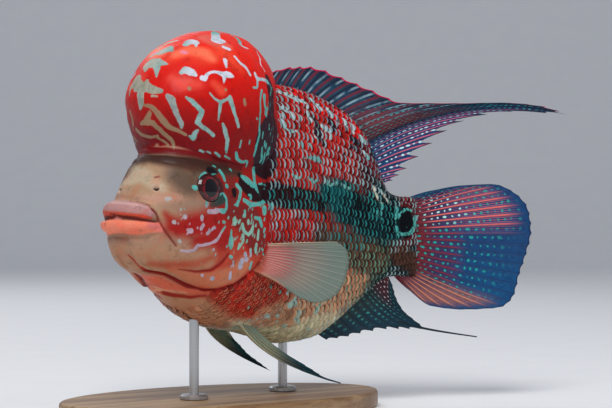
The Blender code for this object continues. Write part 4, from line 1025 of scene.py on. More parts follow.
skin_marks = marks(straight)
keep(skin.data, "ground", ground(straight))
keep(skin.data, "pale_tint", painted(paint(CYAN), straight, pale_fields))
for name, depth in zip(("pale", "fawn", "black"), skin_marks.T):
    keep(skin.data, name, depth)
bend_to_pose(skin, shape)


class Number:
    """A number that varies over a surface. Sums on it add Math nodes."""

    def __init__(self, look, socket):
        self.look = look
        self.socket = socket

    def math(self, operation, *others):
        return self.look.add("ShaderNodeMath", {"operation": operation}, dict(enumerate((self, *others))))

    def __add__(self, other):
        return self.math("ADD", other)

    def __sub__(self, other):
        return self.math("SUBTRACT", other)

    def __mul__(self, other):
        return self.math("MULTIPLY", other)

    def __rsub__(self, other):
        return self.look.add("ShaderNodeMath", {"operation": "SUBTRACT"}, {0: other, 1: self})

    __radd__ = __add__
    __rmul__ = __mul__


class Look:
    """One material under construction."""

    def __init__(self, name, **constants):
        self.material = bpy.data.materials.new(name)
        self.material.use_nodes = True
        self.tree = self.material.node_tree
        self.shader = self.tree.nodes["Principled BSDF"]
        sockets = {key.replace("_", " ").title().replace("Ior", "IOR"): value for key, value in constants.items()}
        self.feed(self.shader, sockets)

    def feed(self, node, sockets):
        """Links numbers, and sets plain values and colours, on a node's sockets."""
        for key, value in sockets.items():
            if isinstance(value, Number):
                self.tree.links.new(value.socket, node.inputs[key])
            elif node.inputs[key].type == "RGBA":
                node.inputs[key].default_value = (*value, 1.0)
            else:
                node.inputs[key].default_value = value

    def add(self, kind, settings=None, sockets=None, out=0):
        """Adds a node, makes its settings, feeds its sockets and gives one of its outputs."""
        node = self.tree.nodes.new(kind)
        for key, value in (settings or {}).items():
            setattr(node, key, value)
        self.feed(node, sockets or {})
        return Number(self, node.outputs[out])

    def read(self, name, out=2):
        """A number kept on the mesh, or with out 0 or 1 a colour or place."""
        return self.add("ShaderNodeAttribute", {"attribute_name": name}, out=out)

    def step(self, value, low, high):
        """0 below low, 1 above high and smooth between."""
        limits = {0: value, 1: low, 2: high}
        return self.add("ShaderNodeMapRange", {"interpolation_type": "SMOOTHSTEP"}, limits)

    def mix(self, low, high, share, way="MIX"):
        """One colour over another, by share."""
        settings = {"data_type": "RGBA", "blend_type": way}
        return self.add("ShaderNodeMix", settings, {0: share, 6: low, 7: high}, out=2)

    def noise(self, place, scale, detail=2.0, rough=0.5):
        """Cloudy noise of so many grains to the metre."""
        sockets = {"Vector": place, "Scale": scale, "Detail": detail, "Roughness": rough}
        return self.add("ShaderNodeTexNoise", {"normalize": True}, sockets)

    def finish(self, colour, roughness, height=None, depth=None, **more):
        """Feeds the finished colour, roughness and relief to the shader."""
        fed = {"Base Color": colour, "Roughness": roughness, **more}
        if height is not None:
            fed["Normal"] = self.add("ShaderNodeBump", {}, {"Strength": 1.0, "Distance": depth, "Height": height})
        self.feed(self.shader, fed)
        return self.material


# The grain of the skin's mottling, in clouds to the metre, and the tints that it multiplies in.
WOBBLE_GRAIN = 420.0
MOTTLE_GRAIN = 260.0
FLUSH_GRAIN = 130.0
CLOUD_GRAIN = 330.0
PORE_GRAIN = 1500.0
CREASE_GRAIN = 620.0
MUDDY = (0.55, 0.46, 0.44)
GLOWING = (1.25, 1.18, 1.12)
FLUSHED = (1.0, 0.62, 0.54)
CLOUDED = (0.62, 0.74, 0.70)
INK_TURNS_PLUM = (0.028, 0.038)
SKIN_RELIEF = 0.00012


def skin_colour(look, place):
    """Ground, markings and mottling shared by skin and scales, with the share of pale marks."""
    wobble = look.noise(place, WOBBLE_GRAIN, 3.0) - 0.5
    colour = look.read("ground", 1)
    fine = look.noise(place, MOTTLE_GRAIN, 4.0, 0.6)
    colour = look.mix(colour, MUDDY, look.step(fine, 0.46, 0.30) * 0.55, "MULTIPLY")
    colour = look.mix(colour, GLOWING, look.step(fine, 0.56, 0.76) * 0.8, "MULTIPLY")
    flush = look.noise(place, FLUSH_GRAIN, 4.0, 0.6)
    colour = look.mix(colour, FLUSHED, look.step(flush, 0.48, 0.68) * 0.6, "MULTIPLY")
    black = look.step(look.read("black") + wobble * 1.6, -0.45, 0.45)
    height = look.add("ShaderNodeSeparateXYZ", {}, {0: place}, out=2)
    ink = look.mix(paint(BLACK_COLOUR), paint(PLUM_COLOUR), look.step(height, *INK_TURNS_PLUM))
    colour = look.mix(colour, ink, black * 0.95)
    fawn = look.step(look.read("fawn") + wobble * 0.9, -0.25, 0.30)
    colour = look.mix(colour, paint(FAWN_COLOUR), fawn * 0.85)
    pale = look.step(look.read("pale") + wobble * 0.9, -0.22, 0.26)
    cloud = look.noise(place, CLOUD_GRAIN, 3.0, 0.6)
    pale_colour = look.mix(look.read("pale_tint", 1), CLOUDED, look.step(cloud, 0.56, 0.36) * 0.8, "MULTIPLY")
    return look.mix(colour, pale_colour, pale * 0.90), pale


look = Look("wet_skin", specular_ior_level=0.14, coat_weight=0.05, coat_roughness=0.20)
place = look.read("straight", 1)
colour, pale = skin_colour(look, place)
pores = look.noise(place, PORE_GRAIN, 3.0, 0.6)
cells = {"Vector": place, "Scale": CREASE_GRAIN}
creases = look.add("ShaderNodeTexVoronoi", {"feature": "DISTANCE_TO_EDGE"}, cells)
height = pores * 0.5 + look.step(creases, 0.0, 0.25) * 0.35 + pale * 0.5
skin.data.materials.clear()
skin.data.materials.append(look.finish(colour, 0.40 + pores * 0.22, height, SKIN_RELIEF))
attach(skin, "root")
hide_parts("head", "trunk", "tail_stalk", "nuchal_hump", "gill_cover_left", "gill_cover_right",
            "upper_lip", "lower_lip")

# The eyes: low glossy domes with a black pupil, a thin bright ring and a deep red iris. Each is a flattened
# ball of clear horn over soft colour, turned a little forward and up, and held in its lids.
EYE_SEGMENTS = 64
EYE_RINGS = 48
PUPIL_RADIUS = 4.1
IRIS_RADIUS = 5.3
PUPIL_NARROWNESS = 1.22
EYE_DARK = (8, 4, 10)
IRIS_RED = (84, 4, 12)
IRIS_BRIGHT = (136, 8, 18)
EYE_RIM = (50, 8, 10)
IRIS_GRAIN = 900.0

for side_name, side in (("left", -1), ("right", 1)):
    dome, faces = ball(EYE_SEGMENTS, EYE_RINGS)
    eye_place, turn = eye_set(side)
    turn = turn @ Matrix.Rotation(math.pi / 2, 3, "X")
    points = (dome * (EYE_RADIUS, EYE_RADIUS, EYE_DEPTH)) @ np.array(turn).T + eye_place
    eye = new_piece("eyeball_" + side_name, mesh_of("eyeball_" + side_name, points, faces))
    keep(eye.data, "ring", np.hypot(dome[:, 0] * PUPIL_NARROWNESS, dome[:, 1]) * EYE_RADIUS * 1000)
    bend_to_pose(eye, points)
    look = Look("eye_" + side_name, specular_ior_level=0.25, coat_weight=0.45, coat_roughness=0.02)
    ring = look.read("ring")
    streaks = look.noise(look.read("straight", 1), IRIS_GRAIN, 4.0)
    redder = look.step(ring, PUPIL_RADIUS + 0.3, PUPIL_RADIUS + 1.0)
    colour = look.mix(paint(IRIS_BRIGHT), paint(IRIS_RED), redder)
    colour = look.mix(colour, paint(EYE_DARK), look.step(streaks, 0.44, 0.62) * 0.8)
    colour = look.mix(colour, paint(EYE_RIM), look.step(ring, IRIS_RADIUS, IRIS_RADIUS + 0.7))
    colour = look.mix(paint(EYE_DARK), colour, look.step(ring, PUPIL_RADIUS, PUPIL_RADIUS + 0.25))
    eye.data.materials.append(look.finish(colour, 0.05 + streaks * 0.04))
    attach(eye, "root")
    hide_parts("eye_" + side_name)

# The back fin, a sail of thin skin on jointed rays, stiff spines at its front and soft rays behind. Like all
# the fins it is one sheet, with the rays as ridges on both faces and notches between their tips. A ray is
# given by its root, bend and tip in millimetres, here as s and height.
DORSAL_RAYS = (
    ((108, 69), (110.2, 73.4), (114.2, 76.2)),
    ((121, 69), (124.3, 75.5), (129.5, 80.6)),
    ((131, 68), (135.3, 75.7), (142, 81.3)),
    ((142, 65), (149.4, 72.5), (159, 76.7)),
    ((153, 60), (163.1, 67.1), (175, 70.6)),
    ((161.5, 55), (176.1, 61.8), (192, 64.8)),
    ((166.2, 50.2), (190.9, 61.8), (218, 65)),
    ((168.2, 47.8), (204.1, 65.3), (244, 65.6)),
    ((169.6, 45.6), (214.6, 68.8), (265, 63.8)),
    ((170.4, 44.4), (220.5, 70.4), (276, 60)),
    ((171.4, 42.6), (207.1, 62.8), (248, 61.2)),
    ((173, 39.2), (196.6, 52.1), (223, 56.6)),
    ((174.5, 34.5), (189.6, 42.3), (206.2, 45.5)),
    ((176, 29), (184, 32.2), (192.5, 33)),
    ((177.5, 24.5), (181.1, 26.3), (185, 27)),
)
DORSAL_NOTCHES = (0.10, 0.08, 0.07, 0.05, 0.02, 0.02, 0.04, 0.08, 0.22, 0.34, 0.30)
DORSAL_WEB = (12, 38, 66)
DORSAL_WEB_MIDDLE = (16, 62, 88)
DORSAL_WEB_FOOT = (92, 40, 46)
DORSAL_WEB_REAR = (10, 58, 104)
DORSAL_WEB_EDGE = (8, 26, 50)
DORSAL_SPINES = (10, 26, 42)
DORSAL_RED_RAYS = (120, 34, 52)
DORSAL_PINK_RAYS = (222, 104, 128)
DORSAL_RAY_TIPS = (14, 40, 70)
DORSAL_DOTS = (44, 146, 150)
DORSAL_REAR_DOTS = (196, 232, 240)
DORSAL_MARGIN = (196, 6, 66)
RAY_COLUMNS = 6
RAY_HALF_ROOT = 0.00100
RAY_HALF_TIP = 0.00034
WEB_HALF_ROOT = 0.00055
WEB_HALF_TIP = 0.00020
RAY_SPREAD = 0.30
LOBE_SHARE = 0.28
WEB_GRAIN = 500.0
WEB_SHADE = (0.45, 0.48, 0.55)
STREAK_GRAIN = 160.0
PALE_STREAK = (136, 164, 176)
DARK_STREAK = (104, 34, 48)
DRIFT_GRAIN = 120.0
OPAQUE_RELIEF = 0.00012
CLEAR_RELIEF = 0.00002


def upright(rays):
    """Rays that stand in the fish's middle plane, given by s and height alone."""
    return [[(s, 0.0, z) for s, z in ray] for ray in rays]


def sheet_faces(rows, columns):
    """The faces of a thin closed sheet, whose points come row by row, first all of its face, then its back."""
    back = rows * columns
    grid = np.arange(back).reshape(rows, columns)
    a, b, c, d = [part.ravel() for part in (grid[:-1, :-1], grid[:-1, 1:], grid[1:, 1:], grid[1:, :-1])]
    both = np.stack([a, b, c, d, d + back, c + back, b + back, a + back], axis=1).reshape(-1, 4)
    rim = np.concatenate([grid[0, :-1], grid[:-1, -1], grid[-1, :0:-1], grid[:0:-1, 0]])
    after = np.roll(rim, -1)
    edge = np.stack([after, rim, rim + back, after + back], axis=1)
    return np.concatenate([both, edge]).tolist()


def fin_sheet(key_rays, count, rows, notches, wave=0.0, lobe=0.0):
    """A fin's points and faces, from the roots, bends and tips of some of its rays in millimetres, and each
    point's facts: its ray's number, its share along the ray, and its way from the root and to the margin."""
    columns = (count - 1) * RAY_COLUMNS + 1
    across = np.linspace(0, 1, columns)
    keys = np.linspace(0, 1, len(key_rays))
    rays = np.array(key_rays) / 1000
    line = np.array([[between(keys, rays[:, part, axis], across) for axis in range(3)] for part in range(3)])
    root, bend, tip = [line[part].T[:, None] for part in range(3)]
    ray_at = across * (count - 1)
    phase = ray_at % 1
    notch = np.interp(across, np.linspace(0, 1, len(notches)), notches)
    reach = 1 - notch * np.sin(math.pi * phase)
    along = np.linspace(0, 1, rows + 1)[None, :] * reach[:, None]
    t = along[:, :, None]
    sheet = root * (1 - t) ** 2 + 2 * bend * t * (1 - t) + tip * t * t
    down = np.gradient(sheet, axis=1)
    side = np.gradient(sheet, axis=0)
    normal = np.cross(side, down)
    normal /= np.linalg.norm(normal, axis=2, keepdims=True)
    sway = wave * np.sin(ray_at * 0.75)[:, None] * along ** 2
    sheet = sheet + normal * sway[:, :, None]
    off_ray = np.minimum(phase, 1 - phase)[:, None]
    ridge = RAY_HALF_ROOT + (RAY_HALF_TIP - RAY_HALF_ROOT) * along
    web = WEB_HALF_ROOT + (WEB_HALF_TIP - WEB_HALF_ROOT) * np.clip(along * 2, 0, 1)
    half = web + (ridge - web) * np.clip(1 - (off_ray / RAY_SPREAD) ** 2, 0, 1)
    half = half + lobe * np.clip(1 - along / LOBE_SHARE, 0, 1) ** 2
    offset = normal * half[:, :, None]
    points = np.concatenate([(sheet + offset).reshape(-1, 3), (sheet - offset).reshape(-1, 3)])
    steps = np.linalg.norm(np.diff(sheet, axis=1), axis=2) * 1000
    run = np.concatenate([np.zeros((columns, 1)), np.cumsum(steps, axis=1)], axis=1)
    numbers = np.repeat(ray_at[:, None], rows + 1, axis=1)
    facts = np.stack([numbers, along, run, run[:, -1:] - run], axis=2).reshape(-1, 4)
    return points, sheet_faces(columns, rows + 1), np.concatenate([facts, facts])


def fin_piece(name, node, parts, colours):
    """Makes a fin's object; colours gives the colours of web, rays and dots, and the shares of dots, streaks
    and margin."""
    points, faces, facts = parts
    piece = new_piece(name, mesh_of(name, points, faces))
    ray_at, along, run = facts.T[:3]
    for key, values in zip(("ray_at", "along", "run", "to_margin"), facts.T):
        keep(piece.data, key, values)
    for key, values in {"streaks": 0 * along, **colours(ray_at / ray_at.max(), along, run)}.items():
        keep(piece.data, key, values)
    bend_to_pose(piece, points)
    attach(piece, "root")
    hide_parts(node)
    return piece


def fin_look(name, dot_every, margin_colour, alpha=None, branches=1.0, grime=0.6, ray_edge=(0.34, 0.34), dash=1.0):
    """A fin's material: web, rays that fork, rows of dots or dashes between them and a coloured margin."""
    look = Look(name, specular_ior_level=0.25, coat_weight=0.08, coat_roughness=0.2)
    ray_at = look.read("ray_at")
    run = look.read("run")
    along = look.read("along")
    place = look.read("straight", 1)
    fine = look.noise(place, WEB_GRAIN, 3.0)
    phase = ray_at.math("FRACT")
    off_ray = (phase - 0.5).math("ABSOLUTE")
    edge = ray_edge[0] + along * (ray_edge[1] - ray_edge[0])
    ray = look.step(off_ray - edge, 0.0, 0.12)
    split = (ray_at * (2.0 + 2.0 * branches)).math("FRACT") - 0.5
    branch = look.step(split.math("ABSOLUTE"), 0.24, 0.44) * look.step(along, 0.25, 0.6)
    colour = look.read("ground", 1)
    colour = look.mix(colour, WEB_SHADE, look.step(fine, 0.55, 0.35) * grime, "MULTIPLY")
    streaks = look.read("streaks")
    pale_streak = look.step((phase - 0.27).math("ABSOLUTE"), 0.13, 0.05) * streaks
    dark_streak = look.step((phase - 0.68).math("ABSOLUTE"), 0.16, 0.07) * streaks
    long_noise = look.noise(place, STREAK_GRAIN, 2.0)
    colour = look.mix(colour, paint(PALE_STREAK), pale_streak * look.step(long_noise, 0.34, 0.62))
    colour = look.mix(colour, paint(DARK_STREAK), dark_streak * 0.9)
    colour = look.mix(colour, look.read("ray_tint", 1), ray)
    forks = branch * (0.55 if alpha is None else 0.12) * (1 - streaks)
    colour = look.mix(colour, look.read("ray_tint", 1), forks)
    number = ray_at.math("FLOOR")
    shift = look.add("ShaderNodeTexWhiteNoise", {"noise_dimensions": "1D"}, {"W": number})
    drift = look.noise(place, DRIFT_GRAIN, 2.0)
    paced = run * (1.0 / dot_every) + shift + drift * 1.6
    beat = paced.math("FRACT") - 0.5
    inside = (phase - 0.5) * 2.0 + (drift - 0.5) * 0.9
    cell = look.add("ShaderNodeCombineXYZ", {}, {0: number, 1: paced.math("FLOOR")})
    size = look.add("ShaderNodeTexWhiteNoise", {"noise_dimensions": "2D"}, {"Vector": cell})
    round_dot = beat * beat * (16.0 / dash) + inside * inside * (5.0 * dash) + size * 0.6
    dot = look.step(round_dot, 1.00, 0.55) * look.read("dots")
    colour = look.mix(colour, look.read("dot_tint", 1), dot)
    margin = look.step(look.read("to_margin"), 1.1, 0.5) * look.read("margin")
    colour = look.mix(colour, paint(margin_colour), margin)
    height = ray * 0.6 + branch * 0.4 + fine * 0.2
    segments = look.step(((run * 0.9).math("FRACT") - 0.5).math("ABSOLUTE"), 0.5, 0.42)
    height = height + segments * ray * 0.3
    more = {}
    if alpha is not None:
        clear = look.step(along, 0.18, 0.5) * (1 - alpha)
        more["Alpha"] = 1 - clear * (1 - ray * 0.5)
    relief = OPAQUE_RELIEF if alpha is None else CLEAR_RELIEF
    return look.finish(colour, 0.36 + fine * 0.2, height, relief, **more)


def window(value, low, high, edge):
    """1 between low and high, with soft ends."""
    return soft(value, low - edge, low + edge) * soft(value, high + edge, high - edge)


def dorsal_colours(across, along, run):
    """Dark blue with dark and pale streaks at the front, bright blue with pink rays and pale dots behind."""
    foot = window(across, 0.34, 0.62, 0.06) * soft(along, 0.66, 0.30)
    return {
        "ground": layered(
            DORSAL_WEB,
            (DORSAL_WEB_MIDDLE, window(along, 0.2, 0.7, 0.15)),
            (DORSAL_WEB_FOOT, foot * 0.9),
            (DORSAL_WEB_REAR, soft(across, 0.58, 0.72)),
            (DORSAL_WEB_EDGE, soft(across, 0.46, 0.62) * soft(along, 0.78, 0.96)),
        ),
        "ray_tint": layered(
            DORSAL_SPINES,
            (DORSAL_PINK_RAYS, soft(across, 0.62, 0.74) * window(along, 0.10, 0.86, 0.10)),
            (DORSAL_RED_RAYS, window(across, 0.34, 0.60, 0.05) * window(along, 0.1, 0.6, 0.1)),
            (DORSAL_RAY_TIPS, soft(along, 0.84, 0.98)),
        ),
        "dot_tint": layered(DORSAL_DOTS, (DORSAL_REAR_DOTS, soft(across, 0.62, 0.76))),
        "dots": soft(across, 0.28, 0.42) * soft(along, 0.98, 0.80),
        "streaks": soft(across, 0.52, 0.40) * window(along, 0.12, 0.93, 0.08),
        "margin": soft(across, 0.66, 0.56),
    }


sheet = fin_sheet(upright(DORSAL_RAYS), 29, 44, DORSAL_NOTCHES, wave=0.0008)
dorsal = fin_piece("dorsal_sail", "dorsal_fin", sheet, dorsal_colours)
dorsal_web = fin_look("dorsal_web", 3.2, DORSAL_MARGIN, branches=0.0, ray_edge=(0.38, 0.38), dash=2.0)
dorsal.data.materials.append(dorsal_web)

# The anal fin, a smaller sail below the tail stalk, dark green-blue with rows of green dots. Its longest rays
# run out in a soft trailing thread.
ANAL_RAYS = (
    ((143, -44), (146.3, -47.4), (150.5, -49.6)),
    ((149, -41), (154.4, -45.8), (161, -48.6)),
    ((157, -35), (163.5, -42), (172, -46.4)),
    ((164, -29.5), (171.5, -39.5), (184, -45.2)),
    ((169, -26), (178.8, -38.8), (194.5, -45.4)),
    ((171.5, -23.8), (182.5, -37.5), (203, -45.6)),
    ((174.5, -21.5), (183.8, -34.5), (197, -41.2)),
    ((177.5, -19), (182.9, -29.3), (191.2, -36.8)),
    ((180, -17.8), (182.7, -24.3), (186.8, -30)),
    ((182, -17.2), (183.1, -20.8), (185, -24)),
)
ANAL_NOTCHES = (0.12, 0.12, 0.10, 0.06, 0.05, 0.08, 0.10)
ANAL_FILAMENT = (
    (188, 0, -41.4),
    (196, 0, -43.9),
    (204, 0, -45.7),
    (216, 0, -47.8),
    (229, 0, -49.8),
)
ANAL_FILAMENT_FACTS = (10.0, 0.97, 60.0, 0.0)
FILAMENT_ROOT = 0.0007
FILAMENT_TIP = 0.0003
FILAMENT_STEPS = 40
ANAL_WEB_ROOT = (40, 62, 62)
ANAL_WEB = (14, 52, 68)
ANAL_WEB_REAR = (82, 30, 38)
ANAL_RAY_BLUE = (14, 40, 52)
ANAL_REAR_RAYS = (170, 96, 96)
ANAL_DOTS = (52, 142, 132)
ANAL_REAR_DOTS = (220, 192, 198)
ANAL_MARGIN = (8, 28, 40)


def filament_of(places, facts_at):
    """A fin's soft trailing thread along places in millimetres, with the facts of the place it grows from."""
    places = np.array(places) / 1000
    run = np.concatenate([[0], np.cumsum(np.linalg.norm(np.diff(places, axis=0), axis=1))])
    at = np.linspace(0, run[-1], FILAMENT_STEPS)
    line = np.stack([between(run, places[:, k], at) for k in range(3)], axis=1)
    points, faces = tube(line, np.linspace(FILAMENT_ROOT, FILAMENT_TIP, FILAMENT_STEPS), 10)
    facts = np.tile(np.array(facts_at, float), (len(points), 1))
    return points, faces, facts


def joined(*parts):
    """Several sets of points, faces and facts as one."""
    points = []
    faces = []
    facts = []
    for more_points, more_faces, more_facts in parts:
        start = sum(len(p) for p in points)
        faces += [[k + start for k in face] for face in more_faces]
        points.append(more_points)
        facts.append(more_facts)
    return np.concatenate(points), faces, np.concatenate(facts)


def anal_colours(across, along, run):
    """Green-blue with green dots, reddish with pale dots at the foot of the rear."""
    speckled = soft(across, 0.50, 0.72) * soft(along, 0.60, 0.30)
    rear = soft(across, 0.76, 0.95) * soft(along, 0.6, 0.3)
    return {
        "ground": layered(ANAL_WEB_ROOT, (ANAL_WEB, soft(along, 0.15, 0.55)), (ANAL_WEB_REAR, speckled * 0.9)),
        "ray_tint": layered(ANAL_RAY_BLUE, (ANAL_REAR_RAYS, rear)),
        "dot_tint": layered(ANAL_DOTS, (ANAL_REAR_DOTS, speckled)),
        "dots": np.maximum(soft(along, 0.85, 0.50) * 0.85, speckled),
        "margin": 0.7 + 0 * across,
    }


sheet = fin_sheet(upright(ANAL_RAYS), 17, 30, ANAL_NOTCHES, wave=0.0006)
thread = filament_of(ANAL_FILAMENT, ANAL_FILAMENT_FACTS)
anal = fin_piece("anal_sail", "anal_fin", joined(sheet, thread), anal_colours)
anal.data.materials.append(fin_look("anal_web", 2.6, ANAL_MARGIN, branches=0.0))

# The tail fin, a wide rounded fan of forking rays, red at its root and blue beyond, with rows of green and
# pale dots between the rays and two bands of salmon rays.
CAUDAL_RAYS = (
    ((188, 16.5), (195.7, 20), (204, 21.9)),
    ((190, 15), (205, 21.4), (221, 24.7)),
    ((191.5, 13), (213.7, 21.1), (237, 25.4)),
    ((192.5, 10.5), (220.5, 17.4), (249, 21.2)),
    ((193.5, 6.5), (224.7, 10.3), (256, 12.5)),
    ((194, 1.5), (225.6, 1.8), (257.2, 2)),
    ((194, -3.5), (224.5, -6.6), (255, -9)),
    ((193.5, -8.5), (222.4, -14.8), (251.5, -19.5)),
    ((192.5, -12.5), (219.8, -22.8), (248, -30)),
    ((190.5, -15), (214.5, -27.1), (240, -35.6)),
    ((188.5, -16.5), (205, -27.8), (223, -36.4)),
    ((186.5, -17.2), (195.5, -26.7), (206, -34.5)),
    ((184.5, -17.8), (188.3, -22.3), (193, -26)),
)
TAIL_NOTCHES = (0.006, 0.012, 0.006)
TAIL_WEB_ROOT = (104, 26, 38)
TAIL_WEB_VIOLET = (58, 44, 84)
TAIL_WEB = (12, 64, 114)
TAIL_WEB_LOWER = (6, 76, 124)
TAIL_WEB_UPPER = (10, 82, 122)
TAIL_WEB_SALMON = (120, 74, 84)
TAIL_RAYS = (10, 58, 104)
TAIL_RAYS_MAROON = (128, 30, 48)
TAIL_RAYS_UPPER = (232, 106, 96)
TAIL_RAYS_LOWER = (226, 142, 106)
TAIL_RAYS_ROOT = (126, 24, 36)
TAIL_DOTS = (26, 156, 148)
TAIL_UPPER_DOTS = (188, 232, 230)
TAIL_MARGIN = (6, 34, 74)


def caudal_colours(across, along, run):
    """Red root, violet, then blue, with salmon rays above and below the middle and maroon ones in it."""
    upper = window(across, 0.13, 0.40, 0.04) * window(along, 0.14, 0.86, 0.10)
    lower = window(across, 0.72, 0.95, 0.04) * window(along, 0.12, 0.86, 0.12)
    pale_dots = window(across, 0.13, 0.36, 0.05) * window(along, 0.12, 0.5, 0.1)
    dotted = np.maximum(soft(along, 0.95, 0.55), window(across, 0.10, 0.40, 0.06) * 0.8)
    return {
        "ground": layered(
            TAIL_WEB_ROOT,
            (TAIL_WEB_VIOLET, soft(run, 5, 16)),
            (TAIL_WEB, soft(run, 12, 34)),
            (TAIL_WEB_LOWER, window(across, 0.52, 0.82, 0.08) * soft(along, 0.35, 0.7)),
            (TAIL_WEB_UPPER, soft(across, 0.12, 0.03)),
            (TAIL_WEB_SALMON, lower * 0.7),
        ),
        "ray_tint": layered(
            TAIL_RAYS,
            (TAIL_RAYS_MAROON, window(across, 0.34, 0.80, 0.06) * window(run, 4, 26, 5)),
            (TAIL_RAYS_UPPER, upper),
            (TAIL_RAYS_LOWER, lower),
            (TAIL_RAYS_ROOT, soft(run, 12, 4)),
        ),
        "dot_tint": layered(TAIL_DOTS, (TAIL_UPPER_DOTS, pale_dots)),
        "dots": dotted * soft(along, 0.98, 0.88) * soft(across, 0.80, 0.70),
        "margin": 0.5 + 0 * across,
    }


sheet = fin_sheet(upright(CAUDAL_RAYS), 27, 56, TAIL_NOTCHES, wave=0.0009)
caudal = fin_piece("tail_sail", "caudal_fin", sheet, caudal_colours)
caudal.data.materials.append(fin_look("tail_web", 3.8, TAIL_MARGIN))

# The pectoral fins, one paddle behind each gill cover: a fleshy red root and a pale, partly clear web on
# fine branching rays. The rays are given for the right side.
PECTORAL_RAYS = (
    ((79, 22.5, -3), (88, 33, -2), (129, 40, -1.8)),
    ((79.2, 22.5, -4.6), (89, 33.5, -3.6), (136.2, 40.5, -6)),
    ((79.2, 22.5, -6.4), (89, 34, -6.6), (137.8, 41, -12)),
    ((78.8, 22.5, -8.2), (88.6, 34.2, -9.6), (134.5, 41, -19.5)),
    ((78.2, 22.5, -9.8), (87.4, 34.2, -12.2), (126, 40.5, -26.8)),
    ((77.4, 22.5, -11.2), (85.6, 34, -14.4), (113, 39.5, -29.6)),
    ((76.4, 22.5, -12.4), (83, 33.5, -15.8), (99, 38, -26.6)),
    ((75.2, 22.5, -13.4), (80, 32.5, -16.6), (88, 36, -22.2)),
)
PADDLE_NOTCHES = (0.003, 0.003)
PADDLE_LOBE = 0.0016
PADDLE_CLEAR = 0.74
PADDLE_ROOT = (176, 84, 62)
PADDLE_WEB = (196, 142, 128)
PADDLE_WEB_MIDDLE = (146, 134, 122)
PADDLE_WEB_END = (112, 132, 122)
PADDLE_ROOT_RAYS = (190, 36, 72)
PADDLE_RAYS = (166, 162, 150)
PADDLE_TOP_RAY = (216, 200, 164)
PADDLE_LAST_RAY = (182, 130, 108)
PADDLE_DOTS = (212, 172, 152)
PADDLE_MARGIN = (200, 190, 180)


def mirrored(rays):
    """Rays of the right side carried over to the left."""
    return [[(s, -y, z) for s, y, z in ray] for ray in rays]


def pectoral_colours(across, along, run):
    """Flesh red at the root, then fawn and grey-green, with carmine rays that turn pale."""
    return {
        "ground": layered(
            PADDLE_ROOT,
            (PADDLE_WEB, soft(run, 6, 10)),
            (PADDLE_WEB_MIDDLE, soft(along, 0.36, 0.58)),
            (PADDLE_WEB_END, soft(along, 0.60, 0.92)),
        ),
        "ray_tint": layered(
            PADDLE_ROOT_RAYS,
            (PADDLE_RAYS, soft(along, 0.48, 0.66)),
            (PADDLE_TOP_RAY, soft(across, 0.10, 0.04)),
            (PADDLE_LAST_RAY, soft(across, 0.88, 0.96)),
            (PADDLE_ROOT, soft(run, 9, 6)),
        ),
        "dot_tint": np.tile(paint(PADDLE_DOTS), (len(across), 1)),
        "dots": window(run, 3, 9, 1.5) * 0.7,
        "margin": 0 * across,
    }


pale_web = fin_look("pale_web", 4.0, PADDLE_MARGIN, PADDLE_CLEAR, branches=0.0, grime=0.0, ray_edge=(0.28, 0.43))
for side_name, rays in (("left", mirrored(PECTORAL_RAYS)), ("right", PECTORAL_RAYS)):
    sheet = fin_sheet(rays, 19, 36, PADDLE_NOTCHES, wave=0.0004, lobe=PADDLE_LOBE)
    paddle = fin_piece(side_name + "_paddle", "pectoral_fin_" + side_name, sheet, pectoral_colours)
    paddle.data.materials.append(pale_web)

# The pelvic fins, two narrow olive blades with dark edges below the breast, the left one spread wider and
# drawn out in a thread. The rays are given for the right side.
LEFT_PELVIC_RAYS = (
    ((85, 9.5, -36), (91.5, 16.5, -54.5), (140, 18.2, -66.8)),
    ((87, 9, -36.2), (96.5, 16, -51), (135, 18, -64.2)),
    ((89.5, 8.5, -36.6), (100, 14.5, -48.5), (126.2, 17, -59.8)),
    ((92, 8, -37), (102, 12.5, -47.2), (115, 14.8, -54.5)),
    ((94.5, 7.2, -37.4), (102.2, 10, -46), (107.5, 11.5, -49.8)),
)
RIGHT_PELVIC_RAYS = (
    ((85, 9.5, -36), (89, 15, -47), (128.9, 14, -64.7)),
    ((87, 9, -36.2), (94, 14.5, -46.5), (124, 13.8, -61.2)),
    ((89.5, 8.5, -36.6), (98, 13.2, -46.2), (117, 13.2, -56.6)),
    ((92, 8, -37), (100.5, 11.5, -46), (111, 12.2, -51.8)),
    ((94.5, 7.2, -37.4), (101.5, 9.5, -45.8), (106, 10.4, -49.2)),
)
LEFT_PELVIC_FILAMENT = (
    (124, 17.5, -61.7),
    (132, 17.9, -64.3),
    (140, 18.1, -66.8),
    (148.6, 18, -69),
)
PELVIC_FILAMENT_FACTS = (0.0, 0.97, 50.0, 0.0)
BLADE_SHEET = {"count": 9, "rows": 40, "notches": (0.01, 0.03), "lobe": 0.0008}
BLADE_OLIVE = (122, 124, 100)
BLADE_GREEN = (88, 146, 136)
BLADE_END = (20, 92, 104)
BLADE_FRONT_END = (8, 40, 48)
BLADE_RAYS = (188, 182, 148)
BLADE_RAY_TIPS = (16, 58, 66)
BLADE_DOTS = (70, 170, 164)
BLADE_MARGIN = (10, 54, 64)


def pelvic_colours(across, along, run):
    """Olive to sea green, darkening toward the tips."""
    return {
        "ground": layered(
            BLADE_OLIVE,
            (BLADE_GREEN, soft(across, 0.1, 0.8)),
            (BLADE_END, soft(along, 0.50, 0.85)),
            (BLADE_FRONT_END, soft(along, 0.45, 0.80) * soft(across, 0.50, 0.10)),
        ),
        "ray_tint": layered(BLADE_RAYS, (BLADE_RAY_TIPS, soft(along, 0.5, 0.9))),
        "dot_tint": np.tile(paint(BLADE_DOTS), (len(across), 1)),
        "dots": 0.6 * soft(along, 0.6, 0.3),
        "margin": 0.8 + 0 * across,
    }


